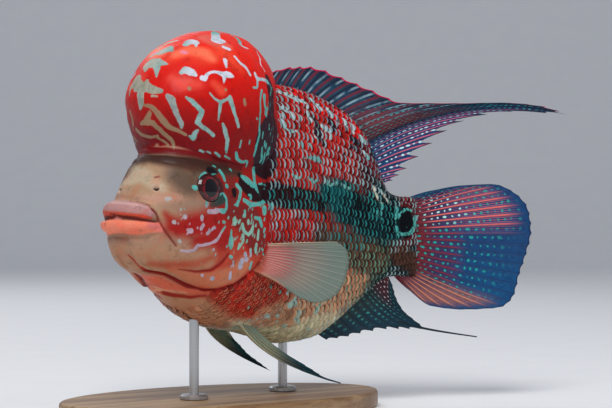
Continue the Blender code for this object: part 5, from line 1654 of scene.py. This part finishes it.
olive_web = fin_look("olive_web", 3.6, BLADE_MARGIN, grime=0.3)
thread = filament_of(mirrored([LEFT_PELVIC_FILAMENT])[0], PELVIC_FILAMENT_FACTS)
left_blade = joined(fin_sheet(mirrored(LEFT_PELVIC_RAYS), **BLADE_SHEET), thread)
right_blade = fin_sheet(RIGHT_PELVIC_RAYS, **BLADE_SHEET)
for side_name, parts in (("left", left_blade), ("right", right_blade)):
    blade = fin_piece(side_name + "_pelvic_blade", "pelvic_fin_" + side_name, parts, pelvic_colours)
    blade.data.materials.append(olive_web)

# The scales: thin overlapping horny plates in staggered rows, rounded and lifted at the rear edge, large
# on the flanks, smaller toward the tail stalk and finest on the breast, which they cross slanting down.
PITCH = ((0.070, 0.0035), (0.110, 0.0036), (0.130, 0.0033), (0.155, 0.0028), (0.175, 0.0023), (0.196, 0.0020))
ROW_HEIGHT = ((0.070, 0.0047), (0.110, 0.0048), (0.130, 0.0045), (0.155, 0.0040), (0.175, 0.0034), (0.196, 0.0029))
ROWS_FROM = 0.066
ROWS_TO = 0.1935
FLANK_ROWS = range(-24, 25)
ROW_MARGIN = 0.2
PLATE_LENGTH = 1.95
PLATE_HEIGHT = 1.26
PLATE_THICK = 0.00022
PLATE_ROOT_LIFT = -0.00062
PLATE_TIP_LIFT = 0.00010
PLATE_CROWN = 0.00024
PLATE_ROUND = 0.36
PLATE_ROUND_POWER = 2.3
PLATE_ROOT_TAPER = 0.25
PLATE_BOW = 0.00012
PLATE_UNEVEN = 0.00004
PLATE_CENTRE = 1.45
WHOLE_PLATE_SHARES = (0.35, 1.0, 0.35)
FULL_PLATE_HEIGHT = 0.0050
LEAST_PLATE_SHARE = 0.45
PLATE_SEED = 7
PATCH = 0.0015
BREAST_PITCH = 0.0020
BREAST_ROW = 0.0024
BREAST_SLANT = math.radians(32)
BREAST_AT = (0.040, -0.052)
BREAST_ROWS = range(-32, 33)
BREAST_STEPS = range(-30, 60)
BREAST_FROM = 0.034
BREAST_TO = 0.124
BREAST_EDGE = (
    (0.040, 0.020), (0.062, -0.002), (0.074, -0.008), (0.090, -0.018), (0.105, -0.036), (0.118, -0.056),
    (0.122, -0.075),
)
BREAST_OVERLAP = 0.0026
RIM_LILAC = (158, 190, 194)
RIM_FIELDS = (
    ((208, 146, 106), 12, ((165, 300, 16), (205, 305, 22), (250, 298, 20), (285, 288, 16))),
    ((190, 186, 150), 12, ((212, 334, 10), (245, 336, 10), (280, 330, 14), (312, 316, 14), (334, 300, 12))),
    ((44, 140, 138), 12, ((268, 195, 8), (300, 198, 12), (335, 208, 22), (360, 225, 34), (392, 222, 20))),
    ((104, 150, 122), 12, ((330, 258, 10), (345, 262, 12), (356, 288, 16), (374, 264, 16))),
    ((132, 166, 178), 12, ((322, 112, 8), (345, 126, 12), (362, 146, 14), (378, 170, 14))),
    ((92, 62, 50), 7, ((398, 258, 10), (410, 262, 10), (417, 284, 8))),
)
OCELLUS = ((406.7, 211, 6), (406.7, 222, 8), (406.7, 232, 6))

ring_angle = np.linspace(0, math.pi, 361)
stations = np.linspace(0.028, 0.1972, 340)
rings = section(stations[:, None], ring_angle[None, :])
steps = np.linalg.norm(np.diff(rings, axis=1), axis=2)
arcs = np.concatenate([np.zeros((len(stations), 1)), np.cumsum(steps, axis=1)], axis=1)
line_height = body_at(stations)[3]
arc_grid = np.linspace(-0.100, 0.100, 801)
half_table = np.zeros((len(stations), len(arc_grid), 2))
arc_top = np.zeros(len(stations))
arc_bottom = np.zeros(len(stations))
for k in range(len(stations)):
    at_line = np.interp(-line_height[k], -rings[k, :, 2], arcs[k])
    rise_to = at_line - arcs[k]
    arc_top[k] = rise_to[0]
    arc_bottom[k] = rise_to[-1]
    for axis in (1, 2):
        half_table[k, :, axis - 1] = np.interp(arc_grid, rise_to[::-1], rings[k, ::-1, axis])


def on_half(s, arc):
    """Straight places on the left half of the body, by s and by distance round it from the side line."""
    row = np.clip((s - stations[0]) / (stations[1] - stations[0]), 0, len(stations) - 1.001)
    column = np.clip((arc - arc_grid[0]) / (arc_grid[1] - arc_grid[0]), 0, len(arc_grid) - 1.001)
    r = row.astype(int)
    c = column.astype(int)
    fr = (row - r)[..., None]
    fc = (column - c)[..., None]
    low = half_table[r, c] * (1 - fc) + half_table[r, c + 1] * fc
    high = half_table[r + 1, c] * (1 - fc) + half_table[r + 1, c + 1] * fc
    yz = low * (1 - fr) + high * fr
    return np.concatenate([np.asarray(s)[..., None] + 0 * yz[..., :1], yz], axis=-1)


def half_normal(s, arc):
    """The outward direction at a place on the left half."""
    step = 0.0006
    along = on_half(s + step, arc) - on_half(s - step, arc)
    round_it = on_half(s, arc + step) - on_half(s, arc - step)
    out = np.cross(along, round_it)
    return out / np.maximum(np.linalg.norm(out, axis=-1, keepdims=True), 1e-12)


rim_fields = lay(RIM_FIELDS)
ocellus_line = laid(OCELLUS)
final_skin = BVHTree.FromPolygons([tuple(p) for p in shape], skin_faces)
throat_edge = laid(GROOVES[THROAT_GROOVE][0])
throat_edge = throat_edge[np.argsort(throat_edge[:, 0])]

# Where no scale lies: deep in the hump, over the gill cover, above the throat's edge, on the nape before the
# line where its scales begin, and before the breast.
BURIED_DEPTH = 0.0016
GILL_OVERHANG = 0.0002
GILL_TOP = 0.0262
THROAT_TO = 0.066
THROAT_MARGIN = 0.0016
NAPE_FROM_HEIGHT = 0.0165
NAPE_START = 0.0862
NAPE_SLOPE_HEIGHT = 0.026
NAPE_SLOPE = 0.6
BARE_TO = 0.058


def bare(s, arc):
    """True where a scale's visible part would lie on bare skin."""
    place = on_half(np.array([s]), np.array([arc]))[0]
    height = place[2]
    near, normal, _, _ = final_skin.find_nearest(Vector(place))
    buried = (Vector(place) - near).dot(normal) < -BURIED_DEPTH
    over_gill = ahead_of(np.array([place]), gill_line)[0] > -GILL_OVERHANG and s < GILL_END_S and height < GILL_TOP
    throat = s < THROAT_TO and height > np.interp(s, throat_edge[:, 0], throat_edge[:, 2]) - THROAT_MARGIN
    nape = height > NAPE_FROM_HEIGHT and s < NAPE_START + NAPE_SLOPE * max(0.0, height - NAPE_SLOPE_HEIGHT)
    return buried or over_gill or throat or nape or s < BARE_TO


def flank_roots():
    """Scale places in rows along the side: s, arc, pitch, row height and slant."""
    run = [ROWS_FROM]
    while run[-1] < ROWS_TO:
        run.append(run[-1] + float(between(*zip(*PITCH), run[-1])))
    found = []
    for row in FLANK_ROWS:
        for k in range(len(run) - 1):
            s = np.interp(k + 0.5 * (row % 2), range(len(run)), run)
            pitch = float(between(*zip(*PITCH), s))
            high = float(between(*zip(*ROW_HEIGHT), s))
            arc = row * high
            margin = high * ROW_MARGIN
            if not np.interp(s, stations, arc_bottom) + margin < arc < np.interp(s, stations, arc_top) - margin:
                continue
            if arc < np.interp(s, *zip(*BREAST_EDGE)) and s < BREAST_EDGE[-1][0]:
                continue
            if not bare(s + pitch * 1.3, arc):
                found.append((s, arc, pitch, high, 0.0))
    return found


def breast_roots():
    """Scale places in slanting rows on the breast, given as in flank_roots."""
    found = []
    cos = math.cos(BREAST_SLANT)
    sin = math.sin(BREAST_SLANT)
    for row in BREAST_ROWS:
        for k in BREAST_STEPS:
            along = (k + 0.5 * (row % 2)) * BREAST_PITCH
            s = BREAST_AT[0] + along * cos + row * BREAST_ROW * sin
            arc = BREAST_AT[1] - along * sin + row * BREAST_ROW * cos
            if not BREAST_FROM < s < BREAST_TO or arc > np.interp(s, *zip(*BREAST_EDGE)) + BREAST_OVERLAP:
                continue
            if arc < np.interp(s, stations, arc_bottom) + 0.0004:
                continue
            if not bare(s + BREAST_PITCH, arc):
                found.append((s, arc, BREAST_PITCH, BREAST_ROW, BREAST_SLANT))
    return found


def plates(name, roots, side, long, wide, share, seed):
    """One joined mesh of scales, each a closed plate laid on the body, and what its colours need."""
    draw = np.random.default_rng(seed)
    roots = np.array(roots)
    count = len(roots)
    s0, arc0, pitch, high, slant = [column[:, None, None] for column in roots.T]
    size = draw.normal(1.0, 0.035, (count, 1, 1))
    tilt = draw.normal(0.0, 0.05, (count, 1, 1)) + slant
    u = np.linspace(0, 1, long + 1)[None, :, None]
    v = np.linspace(-1, 1, wide + 1)[None, None, :]
    along = u * (1 - PLATE_ROUND * np.abs(v) ** PLATE_ROUND_POWER) * pitch * PLATE_LENGTH * size
    across = v * (1 - PLATE_ROOT_TAPER * (1 - u) ** 2) * high * PLATE_HEIGHT / 2 * size
    s = s0 + along * np.cos(tilt) + across * np.sin(tilt)
    arc = arc0 - along * np.sin(tilt) + across * np.cos(tilt)
    base = on_half(s, arc)
    out = half_normal(s, arc)
    small = np.clip(high / FULL_PLATE_HEIGHT, LEAST_PLATE_SHARE, 1.0)
    lift = PLATE_ROOT_LIFT + (PLATE_TIP_LIFT - PLATE_ROOT_LIFT) * u * size - PLATE_CROWN * small * v**2
    lift = lift + draw.normal(0, PLATE_UNEVEN, (count, 1, 1)) * u + PLATE_BOW * small * np.sin(math.pi * u)
    top = base + out * lift[..., None]
    thin = PLATE_THICK * small * (0.35 + 0.65 * np.sin(math.pi * np.clip(u * 0.9 + 0.05, 0, 1)))
    under = base + out * (lift - thin)[..., None]
    both = np.stack([top.reshape(count, -1, 3), under.reshape(count, -1, 3)], axis=1).reshape(count, -1, 3)
    to_side = (1, -side, 1)
    both = both * to_side
    per = (long + 1) * (wide + 1)
    one = np.array(sheet_faces(long + 1, wide + 1))
    faces = (one[None] + (np.arange(count) * 2 * per)[:, None, None]).reshape(-1, 4)
    if side < 0:
        faces = faces[:, ::-1]
    points = both.reshape(-1, 3)
    mesh = bpy.data.meshes.new(name)
    mesh.from_pydata([tuple(p) for p in points], [], faces.tolist())
    piece = new_piece(name, mesh)

    def each(values):
        """One value for each plate, given to all of its points."""
        return np.repeat(values, 2 * per, axis=0)

    centre_s = s0 + PLATE_CENTRE * pitch * np.cos(slant)
    centre_arc = arc0 - PLATE_CENTRE * pitch * np.sin(slant)
    centre = on_half(centre_s, centre_arc).reshape(-1, 3) * to_side
    flat = np.tile(base.reshape(count, -1, 3), (1, 2, 1)).reshape(-1, 3) * to_side
    whole = each(marks(centre))
    local = marks(flat)
    share_of_whole = share * np.array(WHOLE_PLATE_SHARES)
    mixed = whole * share_of_whole + local * (1 - share_of_whole)
    tone_here = blend(ground(flat), each(ground(centre)), np.full(len(flat), share))
    shade = np.clip(draw.normal(0.96, 0.20, count), 0.5, 1.3)
    keep(mesh, "ground", tone_here * each(shade)[:, None])
    for key, depth in zip(("pale", "fawn", "black"), mixed.T):
        keep(mesh, key, depth)
    keep(mesh, "rim_tint", each(painted(paint(RIM_LILAC), centre, rim_fields)))
    keep(mesh, "rim_share", soft(both_sides(flat, [ocellus_line]), 0.0, -0.0008) * share ** 0.3)
    keep(mesh, "pale_tint", painted(paint(CYAN), flat, pale_fields))
    flat_uv = np.stack(np.broadcast_arrays(u, v), axis=-1)
    flat_uv = np.broadcast_to(flat_uv, (count, long + 1, wide + 1, 2)).reshape(count, -1, 2)
    flat_uv = np.tile(flat_uv, (1, 2, 1)).reshape(-1, 2)
    keep(mesh, "plate_along", flat_uv[:, 0])
    keep(mesh, "plate_across", flat_uv[:, 1])
    keep(mesh, "plate_draw", each(draw.uniform(0, 1, count)))
    before = roots[:, :2] + np.stack([-np.cos(roots[:, 4]), np.sin(roots[:, 4])], axis=1) * roots[:, 2:3]
    gap = np.linalg.norm(before[:, None] - roots[None, :, :2], axis=2).min(axis=1)
    keep(mesh, "open", each(soft(gap / roots[:, 2], 0.30, 0.50)))
    span = roots[:, :2].max(0) - roots[:, :2].min(0)
    home = 0.03 + 0.94 * (roots[:, :2] - roots[:, :2].min(0)) / span
    spot = each(home) + (flat_uv - (0.5, 0.0)) * (2 * PATCH, PATCH)
    loops = np.empty(len(mesh.loops), np.int32)
    mesh.loops.foreach_get("vertex_index", loops)
    layer = mesh.uv_layers.new(name="OFBake")
    layer.uv.foreach_set("vector", spot[loops].astype(np.float32).ravel())
    bend_to_pose(piece, points)
    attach(piece, "root")
    return piece


# The tints that a scale's markings, painted shade and painted edge shadow multiply in, and the grain of its noises
# in clouds to the metre.
PLATE_GRAIN = 700.0
PLATE_FLECKS = 480.0
PLATE_BLOTCHES = 110.0
PLATE_SHADOW = (0.16, 0.09, 0.10)
PLATE_FLECK = (0.34, 0.24, 0.30)
# A painted shadow line along each scale's rear edge.
PLATE_EDGE_SHADOW = (0.30, 0.22, 0.24)
RIM_DULL = (0.50, 0.56, 0.56)
PLATE_RELIEF = 0.00006


def plate_look(name):
    """Wet scales: the skin's colours, with painted shade where the next scale lies over them, a painted shadow line
    at the rear edge and a pale rear rim.
    """
    look = Look(name, specular_ior_level=0.10, coat_weight=0.03, coat_roughness=0.20)
    place = look.read("straight", 1)
    along = look.read("plate_along")
    across = look.read("plate_across")
    chance = look.read("plate_draw")
    colour, _ = skin_colour(look, place)
    uneven = look.noise(place, PLATE_GRAIN, 3.0)
    height = look.add("ShaderNodeSeparateXYZ", {}, {0: place}, out=2)
    crisp = (1 - look.step(height, -0.030, -0.042) * 0.75) * (1 - look.read("open"))
    # Painted shade on the part that the next scale lies over, weaker low on the body and where no scale lies before
    # it.
    lapped_shade = look.step(along + uneven * 0.10, 0.74, 0.58) * 0.92 * crisp
    colour = look.mix(colour, PLATE_SHADOW, lapped_shade, "MULTIPLY")
    flecks = look.noise(place, PLATE_FLECKS, 3.0, 0.6)
    colour = look.mix(colour, PLATE_FLECK, look.step(flecks, 0.54, 0.64) * 0.55 * crisp, "MULTIPLY")
    dark = look.step(look.read("black"), -1.6, 0.3)
    begin = 0.76 - chance * 0.14 + uneven * 0.26 + across * across * 0.05
    rim = look.step(along - begin, 0.0, 0.045) * look.step(across.math("ABSOLUTE"), 0.95, 0.45)
    blotch = look.noise(place, PLATE_BLOTCHES, 2.0)
    strength = look.step(chance * 0.9 + uneven * 0.5 + blotch * 0.9, 0.55, 1.05) * 0.9 + 0.05
    rim_colour = look.mix(look.read("rim_tint", 1), RIM_DULL, look.step(blotch, 0.60, 0.40) * 0.8, "MULTIPLY")
    colour = look.mix(colour, rim_colour, rim * strength * look.read("rim_share"))
    # Painted shadow line along the very rear edge.
    colour = look.mix(colour, PLATE_EDGE_SHADOW, look.step(along, 0.970, 0.995) * 0.8 * crisp, "MULTIPLY")
    rings = (along * 26.0 + across * across * -3.0).math("SINE")
    ribs = (across * 22.0).math("SINE") * look.step(along, 0.9, 0.5)
    height = rings * 0.25 + ribs * 0.12 + uneven * 0.5 + rim * 0.5
    return look.finish(colour, 0.32 + uneven * 0.16 + dark * 0.05, height, PLATE_RELIEF)


coats = (("flank", flank_roots(), 7, 5, 0.7), ("breast", breast_roots(), 6, 5, 0.3))
plate_material = plate_look("wet_scales")
for side_name, side in (("left", -1), ("right", 1)):
    for part_name, roots, long, wide, share in coats:
        name = side_name + "_" + part_name + "_scales"
        piece = plates(name, roots, side, long, wide, share, PLATE_SEED + side + len(part_name))
        piece.data.materials.append(plate_material)

# The stand: an oiled oak base, its grain running the long way, and two upright rods of brushed steel, each on
# a low round foot, that end in the underside of the fish.
OAK_PALE = (172, 140, 100)
OAK_DARK = (124, 90, 56)
OAK_FIBRE = (0.45, 0.36, 0.30)
OAK_BANDS = (2.0, 34.0, 34.0)
OAK_FIBRES = (26.0, 620.0, 620.0)
STEEL = (0.60, 0.61, 0.62)
STEEL_DARK = (0.48, 0.48, 0.48)
STEEL_STROKES = (60.0, 60.0, 2600.0)


def drawn_out(look, place, scale):
    """A place stretched or narrowed along each axis, for noise that has a direction."""
    return look.add("ShaderNodeMapping", {}, {"Vector": place, "Scale": scale})


look = Look("oiled_wood", coat_weight=0.15, coat_roughness=0.25)
place = look.add("ShaderNodeTexCoord", out=3)
bands = look.noise(drawn_out(look, place, OAK_BANDS), 3.0, 4.0, 0.6)
fibres = look.noise(drawn_out(look, place, OAK_FIBRES), 3.0, 3.0, 0.6)
colour = look.mix(paint(OAK_PALE), paint(OAK_DARK), look.step(bands, 0.36, 0.64))
colour = look.mix(colour, OAK_FIBRE, look.step(fibres, 0.50, 0.68) * 0.6, "MULTIPLY")
wood = look.finish(colour, 0.46 - bands * 0.12 + fibres * 0.16, fibres, 0.00015)

look = Look("brushed_steel", metallic=1.0)
place = look.add("ShaderNodeTexCoord", out=3)
strokes = look.noise(drawn_out(look, place, STEEL_STROKES), 2.0, 3.0, 0.7)
cloud = look.noise(place, 60.0, 3.0)
colour = look.mix(STEEL, STEEL_DARK, strokes)
steel = look.finish(colour, 0.22 + strokes * 0.18 + cloud * 0.08, strokes, 0.00002)
for node, finish in (("stand_base", wood), ("stand_rod_front", steel), ("stand_rod_rear", steel)):
    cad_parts[node].material_slots[0].material = finish

# The floor is one pale sheet swept up behind the fish, lit by a large soft lamp above and before it,
# a weaker one from the other side and a pale room.
FLOOR_NEAR = -3.0
FLOOR_FAR = 2.2
FLOOR_HALF = 4.0
SWEEP_RADIUS = 1.0
BACKDROP_TOP = 3.0
PALE_GREY = (0.88, 0.89, 0.90)
DUSTY_GREY = (0.83, 0.84, 0.86)
LAMP_AIM = (0, 0, 0.08)
ROOM_LIGHT = (0.86, 0.90, 1.0, 1.0)
ROOM_STRENGTH = 0.34

profile = [(FLOOR_NEAR, 0.0)]
for angle in np.linspace(0, math.pi / 2, 24):
    profile.append((FLOOR_FAR + SWEEP_RADIUS * math.sin(angle), SWEEP_RADIUS * (1 - math.cos(angle))))
profile.append((FLOOR_FAR + SWEEP_RADIUS, BACKDROP_TOP))
points = []
faces = []
for k, (away, up) in enumerate(profile):
    for wide in (-FLOOR_HALF, FLOOR_HALF):
        points.append(camera_right * wide - camera_back * away + camera_up * up)
    if k:
        faces.append([2 * k - 2, 2 * k - 1, 2 * k + 1, 2 * k])
floor = new_piece("floor", mesh_of("floor", points, faces))
floor.data.shade_smooth()
look = Look("pale_floor", roughness=0.8)
floor_grain = look.noise(look.add("ShaderNodeTexCoord", out=3), 30.0, 3.0)
colour = look.mix(PALE_GREY, DUSTY_GREY, floor_grain)
floor.data.materials.append(look.finish(colour, 0.75 + floor_grain * 0.1))


def softbox(name, place, aim, size, power, mirrored_in_wet=True):
    """A square lamp that faces a place, and may be kept out of the highlights."""
    lamp = bpy.data.objects.new(name, bpy.data.lights.new(name, "AREA"))
    lamp.data.shape = "SQUARE"
    lamp.data.size = size
    lamp.data.energy = power
    lamp.location = place
    lamp.rotation_euler = (Vector(aim) - Vector(place)).to_track_quat("-Z", "Y").to_euler()
    lamp.visible_glossy = mirrored_in_wet
    bpy.context.scene.collection.objects.link(lamp)


softbox("key_lamp", (-0.8, -0.8, 1.4), LAMP_AIM, 0.8, 21)
softbox("fill_lamp", (0.9, -1.1, 0.5), LAMP_AIM, 0.9, 3, False)
softbox("rim_lamp", (0.3, 1.2, 1.1), LAMP_AIM, 0.8, 5)
room = bpy.data.worlds.new("room")
bpy.context.scene.world = room
room.use_nodes = True
background = room.node_tree.nodes["Background"]
background.inputs["Color"].default_value = ROOM_LIGHT
background.inputs["Strength"].default_value = ROOM_STRENGTH
bpy.context.scene.view_settings.view_transform = "Standard"
